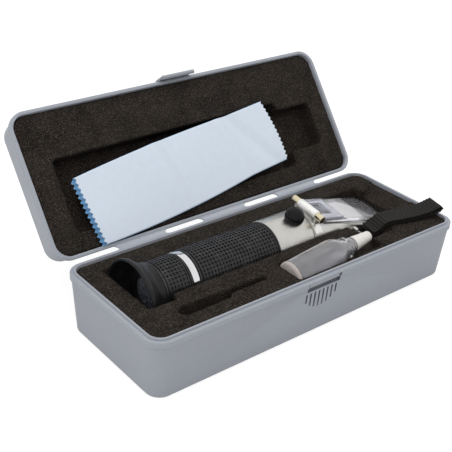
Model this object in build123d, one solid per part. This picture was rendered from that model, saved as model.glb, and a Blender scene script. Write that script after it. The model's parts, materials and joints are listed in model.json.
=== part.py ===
from build123d import *
import os
from math import atan2, cos, degrees, radians, sin, sqrt, tan

# A hand-held refractometer lying in its hinged carry case, with its bottle, cloth and wrist strap.
# X runs along the case, Y from its front to its hinge, Z up; the origin is the middle of its underside.

os.makedirs("parts", exist_ok=True)

# Case
case_length = 205.0
case_width = 78.0
rim_height = 33.4
lid_depth = 17.0
corner_radius = 9.5
base_draft = 2.1
lid_draft = 1.5
band_height = 3.0
band_proud = 0.5
base_wall = 3.0
base_floor = 2.4
lid_wall = 1.8
lid_roof = 1.8
lip_width = 1.0
lip_height = 1.0
base_edge_radius = 2.2
lid_edge_radius = 3.0

# Half the case, from which everything that lies in it takes its place
half_length = case_length / 2
rim_y = case_width / 2
front_room = 14.6
cup_end_room = 18.5
plate_end_room = 20.5
nose_end_room = 34.5
lug_from_nose_end = 15.0
cup_rim_x = cup_end_room - half_length
nose_right = half_length - nose_end_room
lug_x = nose_right - lug_from_nose_end

# Living hinge behind the rims
hinge_behind = 1.87
hinge_below = 0.52
lid_opening = 128.28
web_thickness = 0.8
web_length = 29.0
web_spacing = 54.0

# Latch: a tongue on the lid, a catch and finger grooves on the base
latch_x = 0.4
tongue_width = 21.0
tongue_thickness = 1.3
tongue_gap = 0.15
tongue_root_height = 2.8
tongue_reach = 5.6
barb_depth = 0.9
catch_width = 22.4
catch_top = 1.0
catch_height = 5.0
catch_depth = 1.7
catch_end_slot = 1.0
catch_bar_height = 2.4
groove_count = 8
groove_x = -0.7
groove_pitch = 2.88
groove_width = 1.1
groove_depth = 0.8
groove_below_catch = 1.2
groove_end_length = 5.2
groove_bow = 4.6

# Foams
foam_gap = 0.2
foam_fit = 0.3
lid_foam_recess = 1.4
lid_foam_roof_gap = 0.1
lid_pocket_clear = 2.0
lid_pocket_step_back = 5.0
lid_pocket_end_room = 14.5
lid_pocket_left = cup_rim_x - lid_pocket_clear
lid_pocket_step = nose_right - lid_pocket_step_back
lid_pocket_right = half_length - lid_pocket_end_room
lid_pocket_half_width = 19.5
lid_pocket_narrow_front = -7.2
lid_pocket_narrow_rear = 18.8
lid_pocket_ceiling = 47.2
lid_pocket_radius = 3.0
cap_relief_radius = 8.0
bottle_relief_margin = 1.2

# Empty slot for the adjusting screwdriver
tool_slot_from_rim = 6.5
tool_handle_length = 30.0
tool_slot_room = 1.8
tool_slot_left = cup_rim_x + tool_slot_from_rim
tool_slot_step = tool_slot_left + tool_handle_length
tool_slot_right = -23.7
tool_slot_y = front_room + tool_slot_room - rim_y
tool_slot_width = 6.6
tool_slot_tip_width = 3.4
tool_slot_depth = 9.0

# Where the refractometer lies
axis_y = 7.5
axis_z = 26.5
roll = 8.5

# Eyepiece
cup_rim_radius = 20.0
cup_wall = 1.5
cup_length = 12.0
eyepiece_grip_left = cup_rim_x + cup_length
eyepiece_grip_radius = 14.4
barrel_depth_in_cup = 8.0
barrel_left = cup_rim_x + barrel_depth_in_cup
barrel_radius = 13.0
barrel_bore = 9.5
spigot_length = 12.0
spigot_radius = 10.95
lens_radius = 10.9
lens_edge = 1.6
lens_bulge = 1.0
lens_ring_length = 1.8
lens_ring_bore = 9.0

# Main tube, collar and grip
eyepiece_length = 28.0
collar_left = cup_rim_x + eyepiece_length
collar_length = 4.0
collar_radius = 14.6
tube_radius = 12.95
tube_bore = 11.0
tube_right = 8.0
slip = 0.05
turning_gap = 0.3
grip_right = 0.0
grip_radius = 15.0
grip_band_depth = 0.3
grip_end_land = 1.0
reticle_from_collar = 25.0
reticle_x = collar_left + reticle_from_collar
reticle_thickness = 1.0
objective_x = 3.6

# Head and its sloping prism face
head_radius = 15.3
head_right = 24.0
neck_groove_width = 0.9
neck_groove_depth = 1.8
nose_radius = 14.2
nose_edge_radius = 1.2
head_bore = 10.5
light_bore = 8.0
slope = 14.6
slope_height = 13.2
slope_at_x = 28.8
prism_left = 31.6
prism_length = 17.6
prism_half_width = 7.4
prism_foot_left = 34.0
prism_foot_right = 44.0
prism_foot_depth = -3.0
prism_fit = 0.1

# Bracket, hinge pin and daylight plate
pin_x = 28.2
pin_height = 17.2
pin_radius = 1.2
pin_head_radius = 1.9
pin_half_length = 11.6
pin_head_length = 3.2
bracket_left = 25.2
bracket_right = 30.4
bracket_radius = 14.85
bracket_span = 53.0
foot_length = 4.6
foot_width = 4.8
foot_height = 0.5
ear_outer = 8.3
ear_thickness = 1.3
ear_radius = 1.9
knuckle_radius = 2.1
plate_thickness = 2.4
plate_left = 30.8
plate_right = half_length - plate_end_room
plate_half_width = 10.5
plate_end_radius = 7.0
plate_seat_gap = 0.1
frame_thickness = 1.2
frame_half_width = 9.4
frame_left = -0.6
frame_length = 17.5
window_left = 0.4
window_length = 11.2
window_half_width = 5.5

# Calibration screw and its rubber cap
screw_x = 16.9
screw_turn = 5.5
screw_radius = 2.0
screw_top = 15.1
screw_bottom = 10.8
screw_slot_width = 0.6
screw_slot_depth = 0.9
cap_radius = 5.4
cap_foot_radius = 4.3
cap_middle = 16.8
cap_seat_gap = 0.1
cap_pocket_radius = 2.7
cap_pocket_height = 1.4

# Strap lug, ring and wrist strap
lug_length = 2.0
lug_out = 2.8
lug_bottom = 1.0
lug_height = 5.4
lug_hole_radius = 0.95
ring_radius = 2.7
ring_wire = 0.55
strap_from_lug = 4.4
strap_front_room = 25.4
strap_end_room = 60.0
strap_start_x = lug_x + strap_from_lug
strap_start_y = strap_front_room - rim_y
strap_turn = -14.0
strap_width = 11.0
strap_thickness = 3.2
strap_run = half_length - strap_end_room
strap_lead = 9.0
strap_low = 30.3
strap_clear = 0.3
strap_end_lift = 1.6
strap_bend = 7.0
strap_notch_before_lug = 6.5
strap_notch_length = 21.5
strap_notch_room = 15.0
strap_notch_left = lug_x - strap_notch_before_lug
strap_notch_right = strap_notch_left + strap_notch_length
strap_notch_front = strap_notch_room - rim_y

# Foam cavities for the instrument
plate_clear = 3.0
ramp_end_room = 3.5
head_pocket_right = plate_right + plate_clear
ramp_right = half_length - ramp_end_room
ramp_low = 29.0
ramp_high = 33.0
ramp_front = -7.0
ramp_rear_left = 14.0
ramp_rear_right = 22.6
pocket_floor_thickness = 3.0

# Bottle of test liquid
bottle_before_lug = 43.0
bottle_x = lug_x - bottle_before_lug
bottle_y = front_room - rim_y
bottle_z = 31.3
bottle_pitch = 6.8
bottle_radius = 8.5
bottle_base = -20.8
bottle_shoulder = 11.0
bottle_ring_left = 17.5
bottle_ring_width = 1.6
bottle_ring_radius = 6.8
bottle_neck_radius = 5.4
bottle_neck_end = 23.6
bottle_mouth_radius = 3.6
bottle_mouth_end = 28.5
bottle_wall = 0.9
bottle_corner = 2.0
cap_length = 13.4
cap_base_radius = 5.0
cap_tip_radius = 3.3
cap_wall = 0.8
nozzle_radius = 1.3
nozzle_length = 4.0
nozzle_plug_depth = 4.0

# Cleaning cloth, folded, on the open lid's foam
cloth_length = 132.0
cloth_width = 37.0
cloth_thickness = 1.3
cloth_x = -12.0
cloth_from_hinge = 27.6
cloth_turn = -6.4

# Worked out from the sizes above
hinge_y = rim_y + hinge_behind
hinge_z = rim_height - hinge_below
closed_height = rim_height + lid_depth
lid_foam_face = rim_height + lid_foam_recess
base_inner_length = case_length - 2 * base_wall
base_inner_width = case_width - 2 * base_wall
inner_corner = corner_radius - base_wall
collar_right = collar_left + collar_length
lid_hinge = Axis((0, hinge_y, hinge_z), (1, 0, 0))
instrument = Pos(0, axis_y, axis_z) * Rot(roll, 0, 0)
bottle_place = Pos(bottle_x, bottle_y, bottle_z) * Rot(0, -bottle_pitch, 0)


def rounded_section(length, width, radius, height):
    return Pos(0, 0, height) * RectangleRounded(length, width, radius)


def tapered_block(length, width, radius, low, high, draft):
    """A rounded block that is smaller at the bottom by the draft on every side."""
    small = rounded_section(length - 2 * draft, width - 2 * draft, radius - draft / 2, low)
    return loft([small, rounded_section(length, width, radius, high)])


def turned(*points):
    """A solid of revolution about X from (x, radius) corners."""
    return revolve(make_face(Polyline(*points, close=True)), Axis.X)


def side_profile(points, half_width, middle=0.0):
    """A plate cut to (x, z) corners, as thick as twice half_width along Y."""
    corners = [(x, middle + half_width, z) for x, z in points]
    return extrude(make_face(Polyline(*corners, close=True)), amount=2 * half_width, dir=(0, -1, 0))


def bevel_height(x):
    """Height of the sloping prism face above the instrument's axis."""
    return slope_height - (x - slope_at_x) * tan(radians(slope))


def opened(solid):
    """A piece of the closed lid, swung to the open rest position."""
    return solid.rotate(lid_hinge, -lid_opening)


def make_case_base():
    wall_length = case_length - 2 * band_proud
    wall_width = case_width - 2 * band_proud
    shell = tapered_block(wall_length, wall_width, corner_radius - band_proud, 0, rim_height, base_draft)
    shell = fillet(shell.faces().sort_by(Axis.Z)[0].edges(), base_edge_radius)
    band = extrude(rounded_section(case_length, case_width, corner_radius, rim_height), -band_height)
    shell += band
    lip_length = base_inner_length + 2 * lip_width
    lip = rounded_section(lip_length, base_inner_width + 2 * lip_width, inner_corner + lip_width, rim_height)
    shell += extrude(lip, lip_height)
    shell -= base_cavity(0)
    shell -= latch_catch()
    for cutter in finger_grooves():
        shell -= cutter
    return shell


def base_cavity(gap):
    """The space inside the base, drawn in by a gap on every side."""
    top = rim_height + lip_height + 1 if gap == 0 else rim_height
    cavity = tapered_block(
        base_inner_length - 2 * gap, base_inner_width - 2 * gap, inner_corner - gap,
        base_floor + gap, rim_height, base_draft)
    if top > rim_height:
        cavity += extrude(rounded_section(base_inner_length, base_inner_width, inner_corner, rim_height),
                          top - rim_height)
    return cavity


def front_face_y(height):
    """The base's front wall, which leans in below its band."""
    return -(rim_y - band_proud - base_draft * (1 - height / rim_height))


def latch_catch():
    """The recess under the band: a bar to hook over, a channel below it and a slot at each end."""
    high = rim_height - catch_top
    low = high - catch_height
    bar = high - catch_bar_height
    outside = -rim_y - 1
    deep = -rim_y + band_proud + catch_depth
    corners = [(outside, high), (-rim_y + 0.7 * band_proud, high), (-rim_y + 1.5 * band_proud, bar),
               (deep, bar - 0.6), (deep, low + 0.3), (-rim_y, low - 0.2), (outside, low - 0.2)]
    ramp = extrude(make_face(Polyline(*[(latch_x - catch_width / 2, y, z) for y, z in corners], close=True)),
                   amount=catch_width, dir=(1, 0, 0))
    slot_y = (outside + deep) / 2
    for side in (-1, 1):
        slot_x = latch_x + side * (catch_width - catch_end_slot) / 2
        ramp += Pos(slot_x, slot_y, (high + low) / 2) * Box(catch_end_slot, deep - outside, catch_height)
    return ramp


def finger_grooves():
    """Short upright grooves under the catch, whose lower ends lie on an arc."""
    top = rim_height - catch_top - catch_height - groove_below_catch
    half = groove_pitch * (groove_count - 1) / 2
    bow_radius = (half ** 2 + groove_bow ** 2) / (2 * groove_bow)
    for i in range(groove_count):
        offset = i * groove_pitch - half
        length = groove_end_length + groove_bow - bow_radius + sqrt(bow_radius ** 2 - offset ** 2)
        middle = top - length / 2
        lean = degrees(atan2(base_draft, rim_height))
        place = Pos(groove_x + offset, front_face_y(middle), middle) * Rot(-lean, 0, 0)
        yield place * Box(groove_width, 2 * groove_depth, length)


def make_case_lid():
    wall_length = case_length - 2 * band_proud
    wall_width = case_width - 2 * band_proud
    small = rounded_section(wall_length - 2 * lid_draft, wall_width - 2 * lid_draft,
                            corner_radius - band_proud - lid_draft / 2, closed_height)
    shell = loft([rounded_section(wall_length, wall_width, corner_radius - band_proud, rim_height), small])
    shell = fillet(shell.faces().sort_by(Axis.Z)[-1].edges(), lid_edge_radius)
    shell += extrude(rounded_section(case_length, case_width, corner_radius, rim_height), band_height)
    shell -= lid_cavity(0, rim_height - 0.5, closed_height - lid_roof)
    return opened(shell)


def lid_cavity(gap, low, high):
    """The space inside the closed lid between two heights, drawn in by a gap."""
    sections = []
    for height in (low, high):
        inset = lid_wall + gap + lid_draft * max(0.0, height - rim_height) / lid_depth
        sections.append(rounded_section(case_length - 2 * inset, case_width - 2 * inset,
                                        corner_radius - inset, height))
    return loft(sections)


def make_lid_latch():
    """The tongue, hung by its round root in front of the lid's band."""
    outer = rim_y + tongue_gap + tongue_thickness
    inner = rim_y + tongue_gap
    root_z = rim_height + tongue_root_height
    low = rim_height - tongue_reach
    barb_low = low + 0.4
    corners = [
        (-outer, root_z), (-outer, low + 0.5), (-outer + 0.5, low), (-inner, low),
        (-inner + barb_depth, barb_low + 0.5), (-inner + barb_depth, barb_low + 0.9),
        (-inner, barb_low + 2.0), (-inner, root_z)]
    left = latch_x - tongue_width / 2
    tongue = extrude(make_face(Polyline(*[(left, y, z) for y, z in corners], close=True)),
                     amount=tongue_width, dir=(1, 0, 0))
    root = Pos(latch_x, -(outer + inner) / 2, root_z) * Rot(0, 90, 0)
    tongue += root * Cylinder(tongue_thickness / 2, tongue_width)
    return opened(tongue)


def make_hinge_webs():
    """Three thin strips from the base's band to the open lid's band."""
    turn = radians(lid_opening)

    def swung(y, z):
        dy, dz = y - hinge_y, z - hinge_z
        return hinge_y + dy * cos(turn) + dz * sin(turn), hinge_z - dy * sin(turn) + dz * cos(turn)

    corners = [(rim_y, rim_height), swung(rim_y, rim_height),
               swung(rim_y, rim_height + web_thickness), (rim_y, rim_height - web_thickness)]
    webs = []
    for i in (-1, 0, 1):
        left = i * web_spacing - web_length / 2
        face = make_face(Polyline(*[(left, y, z) for y, z in corners], close=True))
        webs.append(extrude(face, amount=web_length, dir=(1, 0, 0)))
    return Compound(webs)


def make_base_foam():
    foam = base_cavity(foam_gap)
    foam -= instrument_pocket()
    foam -= tool_slot()
    foam -= bottle_slot()
    foam -= strap_notch()
    foam -= head_ramp()
    return foam


def drop_in(radius, left, right):
    """Room for a round part to be laid in from above."""
    length = right - left
    middle = (left + right) / 2
    bed = Pos(middle, axis_y, axis_z) * Rot(0, 90, 0) * Cylinder(radius, length)
    rise = rim_height - axis_z + 1
    return bed + Pos(middle, axis_y, axis_z + rise / 2) * Box(length, 2 * radius, rise)


def instrument_pocket():
    cup_end = eyepiece_grip_left + 1
    room = drop_in(cup_rim_radius + foam_fit, cup_rim_x - 3.2, cup_end)
    room += drop_in(grip_radius + foam_fit, cup_end - 1, head_right)
    room += drop_in(head_radius + foam_fit, grip_right - foam_fit, head_pocket_right)
    return room


def tool_slot():
    """The empty slot for the screwdriver: a round-ended handle bed and a narrow shank bed."""
    handle = tool_slot_step - tool_slot_left
    shank = tool_slot_right - tool_slot_step + 2
    floor = rim_height - tool_slot_depth
    plan = Pos((tool_slot_left + tool_slot_step) / 2, tool_slot_y) * SlotOverall(handle, tool_slot_width)
    plan += Pos(tool_slot_right - shank / 2, tool_slot_y + 1) * SlotOverall(shank, tool_slot_tip_width)
    return extrude(Pos(0, 0, floor) * plan, tool_slot_depth + 1)


def bottle_slot():
    """Round-bottomed room for the bottle, open upwards."""
    reach = bottle_radius + foam_fit
    start = bottle_base - foam_fit
    end = bottle_neck_end + cap_length + 1.5
    length = end - start
    bed = bottle_place * Pos((start + end) / 2, 0, 0) * Rot(0, 90, 0) * Cylinder(reach, length)
    above = rim_height + bottle_radius - bottle_z + 6
    bed += bottle_place * Pos((start + end) / 2, 0, above / 2) * Box(length, 2 * reach, above)
    return bed


def strap_notch():
    """Room in the foam for the lug, its ring and the lower end of the strap."""
    lug_outside = (nose_radius + lug_out) * sin(radians(roll))
    floor = axis_z + lug_bottom * cos(radians(roll)) - lug_outside - foam_fit
    above = rim_height + 1
    corners = [(strap_notch_left, floor), (strap_notch_right - strap_lead, floor),
               (strap_notch_right, rim_height), (strap_notch_right, above), (strap_notch_left, above)]
    return side_profile(corners, (axis_y - strap_notch_front) / 2, (axis_y + strap_notch_front) / 2)


def head_ramp():
    """The shallow sloping hollow past the daylight plate."""
    left = head_pocket_right - 4
    plan = make_face(Polyline(
        (left, ramp_front, ramp_low - 1), (ramp_right, ramp_front, ramp_low - 1),
        (ramp_right, ramp_rear_right, ramp_low - 1), (left, ramp_rear_left, ramp_low - 1), close=True))
    room = extrude(plan, rim_height - ramp_low + 2)
    wedge = side_profile(
        [(left - 1, ramp_low - 2), (ramp_right + 1, ramp_low - 2), (ramp_right + 1, ramp_high),
         (left - 1, ramp_low)], rim_y, 0)
    return room - wedge


def make_lid_foam():
    foam = lid_cavity(foam_gap, lid_foam_face, closed_height - lid_roof - lid_foam_roof_gap)
    foam -= lid_pocket()
    cap_y = axis_y - cap_middle * sin(radians(roll + screw_turn))
    foam -= Pos(screw_x, cap_y, closed_height - lid_depth / 2) * Cylinder(cap_relief_radius, lid_depth)
    foam -= bottle_relief()
    return opened(foam)


def lid_pocket():
    """The stepped hollow over the instrument."""
    low = lid_foam_face - 1
    depth = lid_pocket_ceiling - low
    wide = lid_pocket_step - lid_pocket_left
    room = Pos((lid_pocket_left + lid_pocket_step) / 2, axis_y) * RectangleRounded(
        wide, 2 * lid_pocket_half_width, lid_pocket_radius)
    narrow = lid_pocket_right - lid_pocket_step + 10
    middle_y = (lid_pocket_narrow_front + lid_pocket_narrow_rear) / 2
    room += Pos(lid_pocket_right - narrow / 2, middle_y) * RectangleRounded(
        narrow, lid_pocket_narrow_rear - lid_pocket_narrow_front, lid_pocket_radius)
    return extrude(Pos(0, 0, low) * room, depth)


def bottle_relief():
    """A shallow bed in the lid's foam over the bottle."""
    start = bottle_base - bottle_relief_margin
    end = bottle_neck_end + cap_length + 2.0
    bed = Cylinder(bottle_radius + bottle_relief_margin, end - start)
    return bottle_place * Pos((start + end) / 2, 0, 0) * Rot(0, 90, 0) * bed


def make_cleaning_cloth():
    """The folded cloth as one thin slab, a little off the foam's face."""
    place = Pos(cloth_x, rim_y - cloth_from_hinge, lid_foam_face - foam_fit - cloth_thickness / 2)
    slab = place * Rot(0, 0, cloth_turn) * Box(cloth_length, cloth_width, cloth_thickness)
    return opened(slab)


def make_eyecup():
    """A soft flared cup that grips the barrel by its neck."""
    neck = eyepiece_grip_left - turning_gap
    bore = barrel_radius + slip
    waist = eyepiece_grip_radius + 0.5
    rim = cup_rim_x
    flare = cup_rim_radius - waist
    return instrument * turned(
        (neck, bore), (neck, waist), (neck - 1.8, waist + 0.05 * flare),
        (rim + 5.6, waist + 0.40 * flare), (rim + 1.4, cup_rim_radius - 0.2), (rim + 0.5, cup_rim_radius),
        (rim, cup_rim_radius - 0.5), (rim + 0.3, cup_rim_radius - cup_wall),
        (rim + 4.4, waist + 0.24 * flare), (barrel_left - 1.0, bore + 0.9), (barrel_left - 0.6, bore))


def make_eyepiece_grip():
    left = eyepiece_grip_left
    right = collar_left - turning_gap
    return instrument * banded_sleeve(left, right, barrel_radius + slip, eyepiece_grip_radius)


def banded_sleeve(left, right, bore, radius):
    """A rubber sleeve with a solid land at each end and a slightly lower band between them."""
    low = radius - grip_band_depth
    return turned(
        (left, bore), (left, radius), (left + grip_end_land, radius), (left + grip_end_land, low),
        (right - grip_end_land, low), (right - grip_end_land, radius), (right, radius), (right, bore))


def make_eyepiece_barrel():
    flange = collar_left - turning_gap
    seat = barrel_left + lens_ring_length + lens_rise(lens_ring_bore) + lens_edge + lens_rise(barrel_bore)
    return instrument * turned(
        (barrel_left, lens_radius + slip), (barrel_left, barrel_radius), (flange, barrel_radius),
        (flange, spigot_radius), (flange + spigot_length, spigot_radius), (flange + spigot_length, barrel_bore),
        (seat, barrel_bore), (seat, lens_radius + slip))


def lens_rise(radius):
    """How far a lens face stands out from its edge at a radius."""
    curve = (lens_radius ** 2 + lens_bulge ** 2) / (2 * lens_bulge)
    return lens_bulge - curve + sqrt(curve ** 2 - radius ** 2)


def biconvex(middle):
    """A lens with its edge centred on the given x."""
    curve = (lens_radius ** 2 + lens_bulge ** 2) / (2 * lens_bulge)
    reach = lens_edge / 2 + lens_bulge
    lens = Pos(middle, 0, 0) * Rot(0, 90, 0) * Cylinder(lens_radius, 2 * reach)
    lens &= Pos(middle - reach + curve, 0, 0) * Sphere(curve)
    lens &= Pos(middle + reach - curve, 0, 0) * Sphere(curve)
    return lens


def make_eye_lens():
    return instrument * biconvex(barrel_left + lens_ring_length + lens_rise(lens_ring_bore) + lens_edge / 2)


def stop_ring(left, length, outer, bore):
    return turned((left, bore), (left, outer), (left + length, outer), (left + length, bore))


def make_eye_lens_ring():
    return instrument * stop_ring(barrel_left, lens_ring_length, lens_radius, lens_ring_bore)


def make_collar():
    bevel = 0.4
    return instrument * turned(
        (collar_left, tube_radius + slip), (collar_left, collar_radius - bevel),
        (collar_left + bevel, collar_radius), (collar_right - bevel, collar_radius),
        (collar_right, collar_radius - bevel), (collar_right, tube_radius + slip))


def make_main_tube():
    return instrument * stop_ring(collar_left, tube_right - collar_left, tube_radius, tube_bore)


def make_rubber_grip():
    return instrument * banded_sleeve(collar_right, grip_right, tube_radius + slip, grip_radius)


def make_reticle():
    return instrument * turned(
        (reticle_x, 0), (reticle_x, tube_bore - slip), (reticle_x + reticle_thickness, tube_bore - slip),
        (reticle_x + reticle_thickness, 0))


def make_field_stop():
    return instrument * stop_ring(reticle_x + reticle_thickness, 2.0, tube_bore - slip, lens_ring_bore - 1)


def make_objective_lens():
    return instrument * biconvex(objective_x)


def make_objective_ring():
    left = objective_x - lens_edge / 2 - lens_rise(lens_ring_bore) - lens_ring_length
    return instrument * stop_ring(left, lens_ring_length, tube_bore - slip, lens_ring_bore)


def make_head_housing():
    """The turned aluminium head, its sloped nose, the prism seat and the screw hole."""
    bevel = 0.5
    head = turned(
        (grip_right, tube_radius + slip), (grip_right, head_radius - bevel), (grip_right + bevel, head_radius),
        (head_right - bevel, head_radius), (head_right, head_radius - bevel),
        (head_right, nose_radius - neck_groove_depth), (head_right + neck_groove_width, nose_radius - neck_groove_depth),
        (head_right + neck_groove_width, nose_radius), (nose_right - nose_edge_radius, nose_radius),
        (nose_right, nose_radius - nose_edge_radius), (nose_right, 0), (prism_foot_left, 0),
        (prism_foot_left, light_bore), (head_right - 4, light_bore), (head_right - 4, head_bore),
        (tube_right + slip, head_bore), (tube_right + slip, tube_radius + slip))
    above = side_profile(
        [(head_right + neck_groove_width / 2, bevel_height(head_right + neck_groove_width / 2)),
         (nose_right + 1, bevel_height(nose_right + 1)), (nose_right + 1, head_radius + 2),
         (head_right + neck_groove_width / 2, head_radius + 2)], head_radius + 1)
    head -= above
    head -= prism_block(prism_fit)
    hole = Pos(0, 0, (head_bore + head_radius) / 2) * Cylinder(screw_radius + slip, head_radius)
    head -= screw_place() * hole
    return instrument * head


def prism_block(grown):
    """The wedge of glass under the sloping face, grown by a fit for its seat."""
    left = prism_left - grown
    right = prism_left + prism_length + grown
    lift = 2.0 if grown else 0.0
    corners = [(left, bevel_height(left) + lift), (right, bevel_height(right) + lift)]
    corners += [(right, bevel_height(right) - 1.5), (prism_foot_right + grown, prism_foot_depth - grown),
                (prism_foot_left - grown, prism_foot_depth - grown), (left, bevel_height(left) - 1.5)]
    return side_profile(corners, prism_half_width + grown)


def screw_place():
    """The calibration screw's axis as the local Z, from the instrument's axis outwards."""
    return Pos(screw_x, 0, 0) * Rot(screw_turn, 0, 0)


def make_prism():
    return instrument * prism_block(0)


def make_hinge_bracket():
    """A saddle over the nose, with two ears for the pin and a flat foot at each end."""
    length = bracket_right - bracket_left
    saddle = stop_ring(bracket_left, length, bracket_radius, nose_radius + slip)
    for side in (-1, 1):
        cut = Rot(-side * bracket_span, 0, 0) * Pos(0, side * head_radius, 0)
        saddle -= cut * Box(200, 2 * head_radius, 4 * head_radius)
        foot_turn = bracket_span - degrees(foot_width / 2 / bracket_radius)
        foot = Pos((bracket_left + bracket_right) / 2, 0, bracket_radius - foot_height / 2)
        saddle += Rot(-side * foot_turn, 0, 0) * foot * Box(foot_length, foot_width, 2 * foot_height)
    saddle -= Rot(0, 90, 0) * Cylinder(nose_radius + slip, 200)
    ears = None
    root = sqrt(nose_radius ** 2 - ear_outer ** 2) + 0.2
    for side in (-1, 1):
        middle = side * (ear_outer - ear_thickness / 2)
        ear = Pos(pin_x, middle, (root + pin_height) / 2) * Box(2 * ear_radius, ear_thickness, pin_height - root)
        ear += Pos(pin_x, middle, pin_height) * Rot(90, 0, 0) * Cylinder(ear_radius, ear_thickness)
        ears = ear if ears is None else ears + ear
    ears -= Rot(0, 90, 0) * Cylinder(nose_radius + slip, 200)
    bracket = saddle + ears
    bracket -= Pos(pin_x, 0, pin_height) * Rot(90, 0, 0) * Cylinder(pin_radius + slip, 4 * ear_outer)
    return instrument * bracket


def make_hinge_pin():
    pin = Rot(90, 0, 0) * Cylinder(pin_radius, 2 * pin_half_length)
    for side in (-1, 1):
        middle = side * (pin_half_length - pin_head_length / 2)
        knob = Pos(0, middle, 0) * Rot(90, 0, 0) * Cylinder(pin_head_radius, pin_head_length)
        pin += chamfer(knob.edges().filter_by(GeomType.CIRCLE), 0.3)
    return instrument * Pos(pin_x, 0, pin_height) * pin


def leaf_place():
    """The daylight plate's own frame: X down its slope, Z out of its face."""
    return Pos(plate_left, 0, bevel_height(plate_left) + plate_seat_gap) * Rot(0, slope, 0)


def make_daylight_plate():
    """A clear leaf with a round free end."""
    length = (plate_right - plate_left) / cos(radians(slope))
    plan = Pos(length / 2, 0) * Rectangle(length, 2 * plate_half_width)
    plan = fillet(plan.vertices().group_by(Axis.X)[-1], plate_end_radius)
    plan = fillet(plan.vertices().group_by(Axis.X)[0], 1.5)
    return instrument * leaf_place() * extrude(plan, plate_thickness)


def make_plate_hinge():
    """The plate's hinge bar on the pin, and the frame round its window, which holds the clear leaf."""
    half = ear_outer - ear_thickness - 0.2
    plan = Pos(frame_left + frame_length / 2, 0) * Rectangle(frame_length, 2 * frame_half_width)
    plan -= Pos(window_left + window_length / 2, 0) * Rectangle(window_length, 2 * window_half_width)
    frame = leaf_place() * Pos(0, 0, plate_thickness + slip) * extrude(plan, frame_thickness)
    bar = Pos(pin_x, 0, pin_height) * Rot(90, 0, 0) * Cylinder(knuckle_radius, 2 * half)
    low = bevel_height(plate_left) + plate_seat_gap + plate_thickness + slip
    arm = side_profile(
        [(pin_x, pin_height + knuckle_radius), (pin_x + 1.9, pin_height + 0.8 * knuckle_radius),
         (plate_left + 0.7, low + frame_thickness), (plate_left + 0.7, low + 0.1),
         (plate_left - 0.4, low + 0.1), (pin_x, pin_height - knuckle_radius)], half)
    hinge = frame + bar + arm
    hinge -= Pos(pin_x, 0, pin_height) * Rot(90, 0, 0) * Cylinder(pin_radius + slip, 4 * ear_outer)
    return instrument * hinge


def make_calibration_screw():
    middle = (screw_top + screw_bottom) / 2
    screw = Pos(0, 0, middle) * Cylinder(screw_radius, screw_top - screw_bottom)
    screw -= Pos(0, 0, screw_top) * Box(4 * screw_radius, screw_slot_width, 2 * screw_slot_depth)
    return instrument * screw_place() * screw


def make_calibration_cap():
    """A round rubber cap that stands on the head and hides the screw."""
    outline = [(0, cap_middle - cap_radius * 0.62), (cap_foot_radius, cap_middle - cap_radius * 0.62)]
    for turn in (-22, 8, 36, 62):
        outline.append((cap_radius * cos(radians(turn)), cap_middle + cap_radius * sin(radians(turn))))
    outline += [(cap_radius * 0.14, cap_middle + cap_radius), (0, cap_middle + cap_radius)]
    cap = revolve(make_face(Plane.XZ * Polyline(*outline, close=True)), Axis.Z)
    cap -= Pos(-screw_x, 0, 0) * Rot(0, 90, 0) * Cylinder(head_radius + cap_seat_gap, 200)
    pocket_top = head_radius + cap_pocket_height
    cap -= Pos(0, 0, pocket_top / 2) * Cylinder(cap_pocket_radius, pocket_top)
    return instrument * screw_place() * cap


def make_strap_lug():
    """A small pierced tab on the near side of the nose."""
    inner = sqrt(nose_radius ** 2 - lug_bottom ** 2) - 0.3
    outer = nose_radius + lug_out
    middle = lug_bottom + lug_height / 2
    tab = Pos(lug_x, -(inner + outer) / 2, middle) * Box(lug_length, outer - inner, lug_height)
    tab = fillet(tab.edges().filter_by(Axis.X).group_by(Axis.Y)[0], 0.6)
    tab -= Rot(0, 90, 0) * Cylinder(nose_radius + slip, 200)
    hole = Pos(lug_x, -(outer - lug_out / 2), middle) * Rot(0, 90, 0)
    tab -= hole * Cylinder(lug_hole_radius, 2 * lug_length)
    return instrument * tab


def make_strap_ring():
    middle = lug_bottom + lug_height / 2
    wire_y = -(nose_radius + lug_out / 2) - ring_radius
    wire = RegularPolygon(ring_wire, 8)
    ring = revolve(Plane.XZ * Pos(ring_radius, 0) * wire, Axis.Z)
    return instrument * Pos(lug_x, wire_y, middle) * ring


def make_wrist_strap():
    """The doubled webbing, from its ring up over the foam to its looped end."""
    top = rim_height + strap_clear + strap_thickness / 2
    path = FilletPolyline(
        (0, 0, strap_low), (strap_lead * 0.35, 0, strap_low + 0.6), (strap_lead, 0, top),
        (strap_run * 0.6, 0, top), (strap_run, 0, top + strap_end_lift), radius=[2.0, 4.0, strap_bend])
    ribbon = extrude(trace_upright(path, strap_thickness), amount=strap_width, dir=(0, 1, 0))
    bulb = Pos(strap_run, strap_width / 2, top + strap_end_lift) * Rot(90, 0, 0)
    ribbon += bulb * Cylinder(strap_thickness / 2 + 0.6, strap_width)
    return Pos(strap_start_x, strap_start_y, 0) * Rot(0, 0, strap_turn) * Pos(0, -strap_width / 2, 0) * ribbon


def trace_upright(path, thickness):
    """A flat strip that follows a path drawn in the XZ plane."""
    flat = Plane.XZ.to_local_coords(path)
    return Plane.XZ * trace(flat, thickness)


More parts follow.
